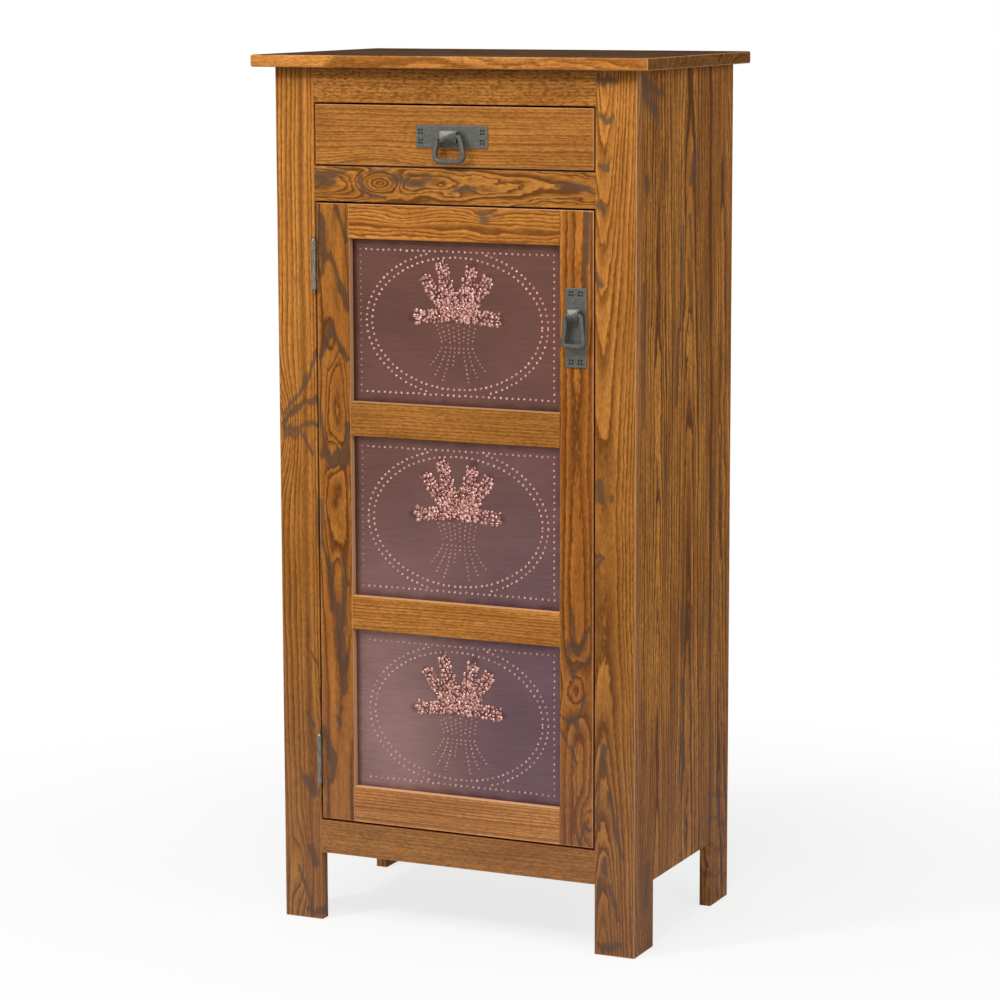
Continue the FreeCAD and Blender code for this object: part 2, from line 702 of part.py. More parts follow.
def pull_bail(kind):
    """Make the swinging handle: a bar with bevelled front edges, bent to a trapezium, with a pin at each end."""
    body = new_body(f"{kind}_pull_bail")
    x, z = f"{kind}_pull_x", f"{kind}_boss_z"
    inner = f"({kind}_boss_width / 2 + seat_gap)"
    top, foot = f"{kind}_bail_top / 2", f"{kind}_bail_foot / 2"
    low = f"{z} - {kind}_bail_drop"
    corners = [(f"{x} - {inner}", z), (f"{x} - {top}", z), (f"{x} - {foot}", low),
               (f"{x} + {foot}", low), (f"{x} + {top}", z), (f"{x} + {inner}", z)]
    path = bend_path(body, "pivot_y", corners,
                     ["bail_shoulder", f"{kind}_bail_corner", f"{kind}_bail_corner", "bail_shoulder"])
    wide, narrow = f"{kind}_bail_bar / 2", f"({kind}_bail_bar / 2 - bail_chamfer)"
    section = [(f"pivot_y + {wide}", f"{z} - {wide}"), (f"pivot_y + {wide}", f"{z} + {wide}"),
               (f"pivot_y - {narrow}", f"{z} + {wide}"), (f"pivot_y - {wide}", f"{z} + {narrow}"),
               (f"pivot_y - {wide}", f"{z} - {narrow}"), (f"pivot_y - {narrow}", f"{z} - {wide}")]
    doc.recompute()
    bar = body.newObject("PartDesign::AdditivePipe", f"{kind}_bail_bar")
    bar.Profile = place_sketch(body, "YZ_Plane", f"{x} - {inner}", [section])
    bar.Spine = (path, [f"Edge{index + 1}" for index in range(len(path.Shape.Edges))])
    bar.Mode = "Frenet"
    body.Tip = bar
    pin = Circle("pivot_y", z, "pivot_radius")
    reach = f"({kind}_boss_width / 2 - pivot_engage)"
    pad(body, "YZ_Plane", [pin], f"{x} - {inner}", f"{x} - {reach}")
    pad(body, "YZ_Plane", [pin], f"{x} + {reach}", f"{x} + {inner}")


def pulls():
    for kind in ("drawer", "door"):
        pull_plate(kind, kind == "drawer")
        pull_boss(kind)
        pull_screw(kind)
        pull_bail(kind)


# ---------------------------------------------------------------- drawer

TAILS = range(3)


def tail_middle(tail):
    """Height of the middle of a dovetail, counted from the bottom."""
    return f"drawer_low + (drawer_side_top - drawer_low) * {tail + 0.5} / {len(TAILS)}"


def tail_outline(tail, slack):
    """List a dovetail's corners, from its lower root round its tip to its upper root."""
    middle = tail_middle(tail)
    root = f"(dovetail_base / 2 + {slack})"
    tip = f"(dovetail_base / 2 + dovetail_flare + {slack})"
    return [("frame_back", f"{middle} - {root}"), ("front_y + dovetail_lap", f"{middle} - {tip}"),
            ("front_y + dovetail_lap", f"{middle} + {tip}"), ("frame_back", f"{middle} + {root}")]


def drawer_front():
    """Make the front, with half-blind sockets at its ends and a groove for the bottom."""
    body = new_body("drawer_front")
    pad(body, "XZ_Plane", [rect("-door_half", "door_half", "drawer_low", "drawer_high")],
        "front_y", "frame_back")
    sockets = [tail_outline(tail, "0") for tail in TAILS]
    for sign in (-1, 1):
        cut(body, "YZ_Plane", sockets, *mirrored(sign, "drawer_inner", "door_half"))
    cut(body, "YZ_Plane", [rect("frame_back - groove_depth", "frame_back", "groove_low", "groove_high")],
        "-(drawer_inner + groove_depth)", "drawer_inner + groove_depth")
    cut_screw_hole(body, "drawer")
    dress(body, "Fillet", "edge_radius", {"y": "front_y", "x": "door_half"}, {"y": "front_y", "x": "-door_half"},
          {"y": "front_y", "z": "drawer_high"}, {"y": "front_y", "z": "drawer_low"})


def drawer_side(label, sign):
    """Make a side whose front end is a row of dovetails."""
    body = new_body(label)
    profile = [("frame_back", "drawer_low")]
    for tail in TAILS:
        profile += tail_outline(tail, "0")
    profile += [("frame_back", "drawer_side_top"), ("drawer_rear", "drawer_side_top"),
                ("drawer_rear", "drawer_low")]
    pad(body, "YZ_Plane", [profile], *mirrored(sign, "drawer_inner", "door_half"))
    groove = rect("front_y + dovetail_lap", "drawer_rear", "groove_low", "groove_high")
    cut(body, "YZ_Plane", [groove], *mirrored(sign, "drawer_inner", "drawer_inner + groove_depth"))
    housing = rect("drawer_back_front", "drawer_back_rear", "drawer_floor", "drawer_side_top")
    cut(body, "YZ_Plane", [housing], *mirrored(sign, "drawer_inner", "drawer_inner + drawer_back_housing"))


def drawer():
    drawer_front()
    drawer_side("drawer_left_side", -1)
    drawer_side("drawer_right_side", 1)
    board("drawer_back", "fit_gap - drawer_inner - drawer_back_housing",
          "drawer_inner + drawer_back_housing - fit_gap", "drawer_back_front", "drawer_back_rear",
          "drawer_floor", "drawer_side_top - drawer_back_drop")
    board("drawer_bottom", "fit_gap - drawer_inner - groove_depth", "drawer_inner + groove_depth - fit_gap",
          "frame_back - groove_depth + fit_gap", "drawer_rear", "groove_low", "drawer_floor")


# ---------------------------------------------------------------- the whole piece

side_board("left_side", -1)
side_board("right_side", 1)
front_stile("left_front_stile", -1)
front_stile("right_front_stile", 1)
for rail_name, rail_span in CASE_RAILS.items():
    frame_rail(rail_name, "opening_half", *rail_span)
top_board()
case_boards()
drawer_stops()
for shelf_name in SHELVES:
    shelf_and_cleats(shelf_name)
catch_and_strike()
hinge_leaves("case", (0, 2, 4))
hinge_leaves("door", (1, 3))
hinge_pins()
door_stile("door_hinge_stile", -1)
door_stile("door_latch_stile", 1)
door_rails()
for panel_name, panel_number in zip(("bottom", "middle", "top"), PANELS):
    copper_panel(panel_name, panel_number)
pulls()
drawer()

doc.recompute()
failed = [item.Label for item in doc.Objects if {"Invalid", "Error"} & set(item.State)]
if failed:
    raise RuntimeError(f"failed to compute: {failed}")
for label, piece in pieces.items():
    if piece.Shape.isNull() or not piece.Shape.isValid():
        raise RuntimeError(f"{label} has no valid shape")
for label, piece in pieces.items():
    piece.Shape.exportStep(f"parts/{label}.step")
print(f"{len(pieces)} pieces, {sum(len(piece.Shape.Solids) for piece in pieces.values())} solids")
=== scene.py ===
import bmesh
import bpy
import itertools
import math
import random
from mathutils import Euler, Matrix, Vector


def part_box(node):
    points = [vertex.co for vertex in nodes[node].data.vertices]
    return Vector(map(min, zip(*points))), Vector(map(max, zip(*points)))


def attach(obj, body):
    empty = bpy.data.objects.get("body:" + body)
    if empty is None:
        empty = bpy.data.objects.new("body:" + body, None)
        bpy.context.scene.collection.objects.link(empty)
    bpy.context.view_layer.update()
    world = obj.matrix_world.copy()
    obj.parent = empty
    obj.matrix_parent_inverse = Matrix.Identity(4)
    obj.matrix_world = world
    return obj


# The dress of an oak pie safe: stained oak with its growth rings, punched copper panels,
# hammered pewter pulls and small screws. Metres, Z up, Y from the door to the back.

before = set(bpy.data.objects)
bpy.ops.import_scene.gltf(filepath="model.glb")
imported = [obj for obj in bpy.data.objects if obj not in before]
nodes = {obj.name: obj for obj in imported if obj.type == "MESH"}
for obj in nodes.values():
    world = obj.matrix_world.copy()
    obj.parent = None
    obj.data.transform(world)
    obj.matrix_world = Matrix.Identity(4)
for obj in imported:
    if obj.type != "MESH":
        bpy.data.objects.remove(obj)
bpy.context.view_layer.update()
MM = 0.001
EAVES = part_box("top_board")[0].z

AXES = {"x": Vector((1, 0, 0)), "y": Vector((0, 1, 0)), "z": Vector((0, 0, 1))}


def srgb(red, green, blue):
    """Turn a colour of 0 to 255 a channel into the linear values that shaders take."""
    shares = [channel / 255 for channel in (red, green, blue)]
    return (*(share / 12.92 if share <= 0.04045 else ((share + 0.055) / 1.055) ** 2.4
              for share in shares), 1.0)


# ---- node trees


class Tree:
    """Adds nodes to a node tree and joins them."""

    def __init__(self, tree, out=None):
        self.tree, self.out = tree, out

    def feed(self, socket, source):
        if isinstance(source, bpy.types.NodeSocket):
            self.tree.links.new(source, socket)
        else:
            socket.default_value = source

    def give(self, **results):
        """Feed outputs of this tree's group, and return the group."""
        for name, source in results.items():
            self.feed(self.out[name], source)
        return self.tree

    def add(self, kind, inputs=None, **settings):
        node = self.tree.nodes.new(f"ShaderNode{kind}")
        for name, value in settings.items():
            setattr(node, name, value)
        for name, source in (inputs or {}).items():
            self.feed(node.inputs[name], source)
        return node

    def place(self, group_tree, **inputs):
        """Place a node group and return its outputs."""
        return self.add("Group", inputs, node_tree=group_tree).outputs

    def math(self, operation, *values, clamp=False):
        inputs = dict(enumerate(values))
        return self.add("Math", inputs, operation=operation, use_clamp=clamp).outputs[0]

    def vector(self, operation, *values):
        outputs = self.add("VectorMath", dict(enumerate(values)), operation=operation).outputs
        return outputs["Value" if operation in ("LENGTH", "DOT_PRODUCT") else "Vector"]

    def times(self, first, second, clamp=False):
        return self.math("MULTIPLY", first, second, clamp=clamp)

    def scaled(self, value, scale, start):
        """Multiply a value, and add the result to another."""
        return self.math("MULTIPLY_ADD", value, scale, start)

    def apart(self, vector):
        """Split a vector into its X, Y and Z."""
        return self.add("SeparateXYZ", {"Vector": vector}).outputs

    def spread(self, value, scales):
        """Make a vector of a value times each of three scales."""
        parts = {axis: self.times(value, scale) for axis, scale in zip("XYZ", scales)}
        return self.add("CombineXYZ", parts).outputs[0]

    def ease(self, value, low, high, start=0.0, end=1.0):
        """Run smoothly from start to end as a value goes from low to high."""
        ends = {"Value": value, "From Min": low, "From Max": high, "To Min": start, "To Max": end}
        return self.add("MapRange", ends, interpolation_type="SMOOTHSTEP").outputs["Result"]

    def noise(self, vector, stretch, detail=2.0, roughness=0.5, distortion=0.0, output="Fac"):
        """Read cloudy noise, from 0 to 1, with so many lumps to the metre along each axis."""
        inputs = {"Vector": self.vector("MULTIPLY", vector, stretch), "Scale": 1.0,
                  "Detail": detail, "Roughness": roughness, "Distortion": distortion}
        return self.add("TexNoise", inputs).outputs[output]

    def mix(self, factor, first, second, blend="MIX"):
        inputs = {0: factor, 6: first, 7: second}
        return self.add("Mix", inputs, data_type="RGBA", blend_type=blend).outputs[2]


def group(name, inputs, outputs):
    """Start a node group. Its sockets are given by kind, as the names of each kind."""
    tree = bpy.data.node_groups.new(name, "ShaderNodeTree")
    for kinds, side in ((inputs, "INPUT"), (outputs, "OUTPUT")):
        for kind, names in kinds.items():
            for socket in names.split():
                tree.interface.new_socket(socket, in_out=side, socket_type=f"NodeSocket{kind}")
    given, out = tree.nodes.new("NodeGroupInput"), tree.nodes.new("NodeGroupOutput")
    return Tree(tree, out.inputs), given.outputs


# What a board's figure is made of, and lumps to the metre across it, into it and along its grain.
FIGURE = "Line Tone Fibre Pore Speck Smoke"
SLOW, QUICK, RAGGED, FRAYS = (11, 11, 2.4), (55, 55, 15), (330, 330, 75), (60, 60, 14)
FIBRES, PORES, FADES, SPECKS = (700, 700, 22), (620, 620, 85), (30, 30, 6), (360, 360, 150)
BANDS, TONES, CLOUDS, STREAKS = (75, 75, 6), (16, 16, 2.6), (30, 30, 7), (230, 230, 11)
# How far the figure moves from stave to stave and from seed to seed, and frays move, in metres.
STAVE_SHIFT, SEED_SHIFT, FRAY_REACH = (-0.13, 0.008, 0.71), (3.1, 1.7, 7.3), (0.012, 0.0, 0.035)
# What a finish makes of a surface.
MADE = {"Color": "Color", "Float": "Roughness Height"}


def soft_hump():
    """Rise softly to a height at a place, with its own half width along each axis."""
    tree, given = group("soft_hump", {"Vector": "Vector Place Size", "Float": "Lift"},
                        {"Float": "Hump"})
    away = tree.vector("SUBTRACT", given["Vector"], given["Place"])
    away = tree.vector("DIVIDE", away, given["Size"])
    squared = tree.vector("DOT_PRODUCT", away, away)
    fall = tree.math("EXPONENT", tree.times(squared, -1.0))
    return tree.give(Hump=tree.times(fall, given["Lift"]))


def soft_stroke():
    """Rise softly to a height along a straight stroke from one place to another."""
    tree, given = group(
        "soft_stroke", {"Vector": "Vector Start Reach Slope", "Float": "Width Lift"},
        {"Float": "Hump"})
    away = tree.vector("SUBTRACT", given["Vector"], given["Start"])
    away = tree.vector("MULTIPLY", away, (1, 0, 1))
    share = tree.math("ADD", tree.vector("DOT_PRODUCT", away, given["Slope"]), 0.0, clamp=True)
    shares = tree.add("CombineXYZ", {"X": share, "Z": share}).outputs[0]
    along = tree.vector("MULTIPLY", given["Reach"], shares)
    gap = tree.vector("LENGTH", tree.vector("SUBTRACT", away, along))
    gap = tree.math("DIVIDE", gap, given["Width"])
    fall = tree.math("EXPONENT", tree.times(tree.times(gap, gap), -1.0))
    return tree.give(Hump=tree.times(fall, given["Lift"]))


def glued_staves():
    """Split a wide board at two glue lines, and start each stave's figure afresh."""
    tree, given = group("glued_staves", {"Vector": "Vector", "Float": "First Second"},
                        {"Vector": "Vector", "Float": "Seam"})
    across = tree.apart(given["Vector"])["X"]
    stave = tree.math("ADD", tree.math("GREATER_THAN", across, given["First"]),
                      tree.math("GREATER_THAN", across, given["Second"]))
    shift = tree.spread(stave, STAVE_SHIFT)
    tree.give(Vector=tree.vector("ADD", given["Vector"], shift))
    first, second = (tree.math("ABSOLUTE", tree.math("SUBTRACT", across, given[line]))
                     for line in ("First", "Second"))
    near = tree.math("MINIMUM", first, second)
    return tree.give(Seam=tree.ease(near, 0.2 * MM, 0.7 * MM, 1.0, 0.0))


def growth_figure():
    """Cut a tree's rings with a board. Vectors run across it, into it and along its grain."""
    values = "Lean Bow Ring Wander Ripple Swell Scorch Smoke Seed"
    tree, given = group("growth_figure", {"Vector": "Vector Heart", "Float": values},
                        {"Float": FIGURE})
    seed = given["Seed"]
    moved = tree.vector("ADD", given["Vector"], tree.spread(seed, SEED_SHIFT))

    def squared(value):
        return tree.math("POWER", tree.math("ABSOLUTE", value), 2.0)

    from_heart = tree.vector("SUBTRACT", given["Vector"], given["Heart"])
    local = tree.apart(from_heart)
    depth = tree.scaled(given["Lean"], local["Z"], local["Y"])
    depth = tree.scaled(given["Bow"], squared(local["Z"]), depth)
    level = tree.math("SQRT", tree.math("ADD", squared(local["X"]), squared(depth)))
    slow, quick, ragged = (tree.math("SUBTRACT", tree.noise(moved, lumps), 0.5)
                           for lumps in (SLOW, QUICK, RAGGED))
    level = tree.scaled(slow, given["Wander"], level)
    level = tree.scaled(quick, given["Ripple"], level)
    level = tree.scaled(ragged, 2.4 * MM, level)
    level = tree.math("DIVIDE", tree.math("ADD", level, given["Swell"]), given["Ring"])
    slow_level = tree.scaled(level, 0.37, seed)
    uneven = tree.add("TexNoise", {"W": slow_level, "Scale": 1.0, "Detail": 1.0},
                      noise_dimensions="1D").outputs["Fac"]
    level = tree.scaled(uneven, 2.2, level)
    phase = tree.math("FRACT", level)
    year = tree.add("TexWhiteNoise", {"W": tree.math("ADD", tree.math("FLOOR", level), seed)},
                    noise_dimensions="1D").outputs["Value"]
    early = tree.math("MAXIMUM", tree.math("POWER", tree.math("SUBTRACT", 1.0, phase), 2.2),
                      tree.ease(phase, 0.82, 1.0))

    pores = tree.noise(moved, PORES, 2.0, 0.6)
    fade = tree.ease(tree.noise(moved, FADES, 1.0), 0.3, 0.6, 0.7, 1.0)
    strength = tree.times(tree.scaled(year, 0.45, 0.75), fade)
    strength = tree.times(early, strength)
    tree.give(Line=tree.times(strength, tree.scaled(pores, 1.1, 0.6), clamp=True))
    tones = tree.times(tree.noise(moved, TONES, 3.0), 0.55)
    tree.give(Tone=tree.scaled(tree.noise(moved, BANDS), 0.45, tones))
    tree.give(Fibre=tree.noise(moved, FIBRES, 2.0, 0.6))
    tree.give(Speck=tree.ease(tree.noise(moved, SPECKS), 0.4, 0.68))
    soft = tree.scaled(early, 0.6, 0.4)
    tree.give(Pore=tree.times(tree.ease(pores, 0.5, 0.66), soft))
    clouds = tree.ease(tree.noise(moved, CLOUDS, 3.0, 0.6, 0.4), 0.55, 0.72)
    clouds = tree.times(clouds, soft)
    streaks = tree.math("SUBTRACT", tree.noise(moved, STREAKS, 3.0, 0.7), 0.5)
    burnt = tree.times(given["Scorch"], tree.scaled(early, 0.4, 0.9))
    scorch = tree.ease(tree.scaled(streaks, 1.2, burnt), 0.06, 0.9)
    smoke = tree.times(clouds, given["Smoke"])
    return tree.give(Smoke=tree.math("MAXIMUM", smoke, scorch))


# A pale painted highlight on the edges of boards.
PAINTED_HIGHLIGHT = srgb(208, 160, 118)
# Painted shade that darkens the top board's top and ends.
TOP_SHADE_TINT = (0.25, 0.37, 0.95, 1.0)


def stained_wood():
    """Stain a wood's figure: pale between the rings, dark where the pores hold the stain."""
    values = f"{FIGURE} LineAmount PoreAmount SpeckAmount Up Arris Seam Edge Top Shade"
    colours = "Light Deep Dark Haze Bloom Rim"
    tree, given = group("stained_wood", {"Float": values, "Color": colours}, MADE)
    body = tree.mix(tree.ease(given["Tone"], 0.38, 0.62), given["Light"], given["Deep"])
    body = tree.mix(tree.ease(given["Fibre"], 0.3, 0.72, 0.24, 0.0), body, given["Dark"])
    for mark in ("Line", "Pore", "Speck"):
        amount = tree.times(given[mark], given[f"{mark}Amount"])
        body = tree.mix(amount, body, given["Dark"])
    body = tree.mix(tree.times(given["Smoke"], 0.85), body, given["Haze"])
    body = tree.mix(given["Seam"], body, given["Dark"])
    # Painted shade: the colour greys and darkens towards the floor.
    body = tree.mix(tree.ease(given["Up"], 0.0, 0.62, 0.24, 0.0), body, given["Bloom"])
    body = tree.mix(tree.times(given["Edge"], 0.75), body, given["Rim"])
    # Painted highlight along edges.
    body = tree.mix(tree.times(given["Arris"], 0.5), body, PAINTED_HIGHLIGHT)
    # Painted shade on the top board's top and ends.
    body = tree.mix(given["Top"], body, TOP_SHADE_TINT, "MULTIPLY")
    # The board's own tone, a painted fall of light lower down and a painted shadow under the top
    # board.
    body = tree.mix(1.0, body, given["Shade"], "MULTIPLY")
    tree.give(Color=body)
    rough = tree.scaled(given["Pore"], 0.16, 0.5)
    rough = tree.scaled(given["Fibre"], 0.08, rough)
    tree.give(Roughness=tree.scaled(given["Arris"], -0.08, rough))
    grooves = tree.times(given["Fibre"], 0.35)
    grooves = tree.scaled(given["Pore"], -0.7, grooves)
    return tree.give(Height=tree.scaled(given["Line"], -0.4, grooves))


def depths_inside(tree, given):
    """Measure how far a place lies inside a box between two corners, along each axis."""
    inside = tree.vector("MINIMUM", tree.vector("SUBTRACT", given["Vector"], given["Low"]),
                         tree.vector("SUBTRACT", given["High"], given["Vector"]))
    return tree.apart(inside)


def edge_band():
    """Mark the edges of a square-cut piece, between two opposite corners, in a band of uneven
    width.
    """
    tree, given = group("edge_band", {"Vector": "Vector Low High", "Float": "Width"},
                        {"Float": "Mask"})
    near = depths_inside(tree, given)
    larger = tree.math("MAXIMUM", near["X"], near["Y"])
    smaller = tree.math("MINIMUM", near["X"], near["Y"])
    middle = tree.math("MAXIMUM", smaller, tree.math("MINIMUM", larger, near["Z"]))
    # Noise that makes the band's width uneven; on wood and pewter the band is a painted highlight.
    edge_glint = tree.noise(given["Vector"], (40, 40, 40))
    reach = tree.times(given["Width"], tree.scaled(edge_glint, 1.4, 0.3))
    return tree.give(Mask=tree.ease(tree.math("DIVIDE", middle, reach), 0.3, 1.3, 1.0, 0.0))


def outer_rim():
    """Mark the side, top and bottom edges of a leaf that hangs between two opposite corners."""
    tree, given = group("outer_rim", {"Vector": "Vector Low High"}, {"Float": "Mask"})
    near = depths_inside(tree, given)
    nearest = tree.math("MINIMUM", near["X"], near["Z"])
    return tree.give(Mask=tree.ease(nearest, 0.1 * MM, 0.5 * MM, 1.0, 0.0))


def patina():
    """Age a sheet of metal: clouds of brown, faint brushing and a duller rim."""
    tree, given = group(
        "patina", {"Vector": "Vector", "Color": "Fresh Aged", "Float": "Rim"}, MADE)
    clouds = tree.noise(given["Vector"], (9, 9, 14))
    brushing = tree.noise(given["Vector"], (22, 22, 620), 3.0, 0.7)
    specks = tree.ease(tree.noise(given["Vector"], (420, 420, 420)), 0.62, 0.75)
    body = tree.mix(tree.ease(clouds, 0.3, 0.7), given["Fresh"], given["Aged"])
    body = tree.mix(tree.ease(brushing, 0.3, 0.7, 0.0, 0.22), body, given["Aged"], "MULTIPLY")
    body = tree.mix(tree.times(specks, 0.22), body, given["Aged"], "MULTIPLY")
    body = tree.mix(tree.times(given["Rim"], 0.5), body, given["Aged"], "MULTIPLY")
    tree.give(Color=body)
    rough = tree.scaled(brushing, 0.06, 0.36)
    tree.give(Roughness=tree.scaled(clouds, 0.16, rough))
    return tree.give(Height=tree.scaled(brushing, 0.25, clouds))


def hammered():
    """Beat a surface with a small hammer and drag it across a stone."""
    tree, given = group("hammered", {"Vector": "Vector", "Float": "Dent"},
                        {"Float": "Height Rub"})
    to_metre = tree.math("DIVIDE", 1.0, given["Dent"])
    scaled = tree.add("VectorMath", {"Vector": given["Vector"], "Scale": to_metre},
                      operation="SCALE").outputs["Vector"]
    dents = tree.add("TexVoronoi", {"Vector": scaled, "Scale": 1.0, "Smoothness": 0.6},
                     feature="SMOOTH_F1").outputs["Distance"]
    scratches = tree.noise(given["Vector"], (90, 90, 1500), 2.0, 0.6)
    grit = tree.noise(given["Vector"], (900, 900, 900))
    height = tree.scaled(scratches, 0.35, dents)
    tree.give(Height=tree.scaled(grit, 0.2, height))
    rub = tree.scaled(dents, 0.6, tree.times(scratches, 0.5))
    return tree.give(Rub=tree.ease(rub, 0.35, 0.85))


HUMP = soft_hump()
STROKE = soft_stroke()
STAVES = glued_staves()
GROWTH = growth_figure()
STAIN = stained_wood()
ARRIS = edge_band()
RIM = outer_rim()
PATINA = patina()
HAMMERED = hammered()


# ---- finishes


def fresh_tree(owner):
    """Give a material or a world an empty node tree."""
    owner.use_nodes = True
    owner.node_tree.nodes.clear()
    return Tree(owner.node_tree)


def new_material(name):
    """Start a material, and return it with its tree, its shader's inputs and object coordinates."""
    material = bpy.data.materials.new(name)
    tree = fresh_tree(material)
    shader = tree.add("BsdfPrincipled")
    tree.add("OutputMaterial", {"Surface": shader.outputs[0]})
    return material, tree, shader.inputs, tree.add("TexCoord").outputs["Object"]


def surface(tree, shader, colour, rough, metal=0.0, height=None, depth=0.0):
    """Feed a shader its colour, its roughness, its share of metal and its relief."""
    for socket, source in (("Base Color", colour), ("Roughness", rough), ("Metallic", metal)):
        tree.feed(shader[socket], source)
    if height is not None:
        relief = {"Height": height, "Distance": depth, "Strength": 1.0}
        tree.feed(shader["Normal"], tree.add("Bump", relief).outputs[0])


def edge_mask(tree, place, low, high, width):
    return tree.place(ARRIS, Vector=place, Low=low, High=high, Width=width)["Mask"]


def rim_mask(tree, place, low, high):
    return tree.place(RIM, Vector=place, Low=low, High=high)["Mask"]


# bloom is a painted shade that the wood takes on towards the floor.
def stain(light, deep, dark, haze, bloom=(112, 98, 98), rim=(146, 70, 34)):
    tones = {"Light": light, "Deep": deep, "Dark": dark, "Haze": haze, "Bloom": bloom, "Rim": rim}
    return {socket: srgb(*tone) for socket, tone in tones.items()}


OAK = stain((204, 136, 60), (176, 112, 44), (104, 58, 12), (92, 66, 46))
DEEP_OAK = stain((194, 124, 50), (164, 98, 34), (92, 48, 8), (82, 58, 42))
BRIGHT_RIM_OAK = OAK | {"Rim": srgb(206, 132, 70)}
SIDE_OAK = stain((216, 146, 64), (164, 102, 38), (88, 48, 8), (84, 62, 44))
TOP_OAK = stain((206, 138, 68), (180, 114, 52), (104, 58, 16), (84, 60, 40))
PALE_WOOD = stain((206, 170, 122), (190, 150, 102), (140, 96, 54), (172, 132, 90),
                  bloom=(200, 170, 130))
PLAIN = {"line": 0.4, "smoke": 0.1}

# Where a tree's heart lies from a board's middle, across it and behind it, how its rings lean
# and bow, how far apart they are, and how far they wander and ripple. Lengths in millimetres.
STRAIGHT = {"heart": (130, 110), "lean": 0.0, "bow": 0.0, "ring": 7.0, "wander": 14, "ripple": 3.0}
FLAT = {"heart": (0, 50), "lean": 0.04, "bow": 0.0, "ring": 6.0, "wander": 40, "ripple": 6.0}
FINE = {"heart": (220, 50), "lean": 0.0, "bow": 0.0, "ring": 5.0, "wander": 10, "ripple": 2.0}

# The way a board's grain runs, and the way across its broad face.
UPRIGHT, LEVEL, SIDE, FLOOR, CROSSWISE = ("z", "x"), ("x", "z"), ("z", "y"), ("x", "y"), ("y", "z")

SIDES = ("left", "right")
PANELS = ("top", "middle", "bottom")

# Swells of the rings, in millimetres from a board's middle: across, along, half width, half
# length and lift.
SWELLS = {
    "left_front_stile": "-34 110 26 70 44, -2 -600 16 60 22, 30 -420 14 70 12",
    "middle_rail": "3 -127 15 36 34, -10 -40 14 30 5, 4 16 12 24 4",
    "door_hinge_stile": "-3 285 12 40 16, 0 95 14 30 16, 4 -120 9 60 14",
    "door_latch_stile": "2 -245 20 45 16, 17 -450 12 30 12",
    "door_top_rail": "14 50 9 24 8, 12 -90 12 40 8",
    "door_lower_rail": "-30 20 16 90 10",
    "drawer_front": "-60 -130 40 60 14",
}
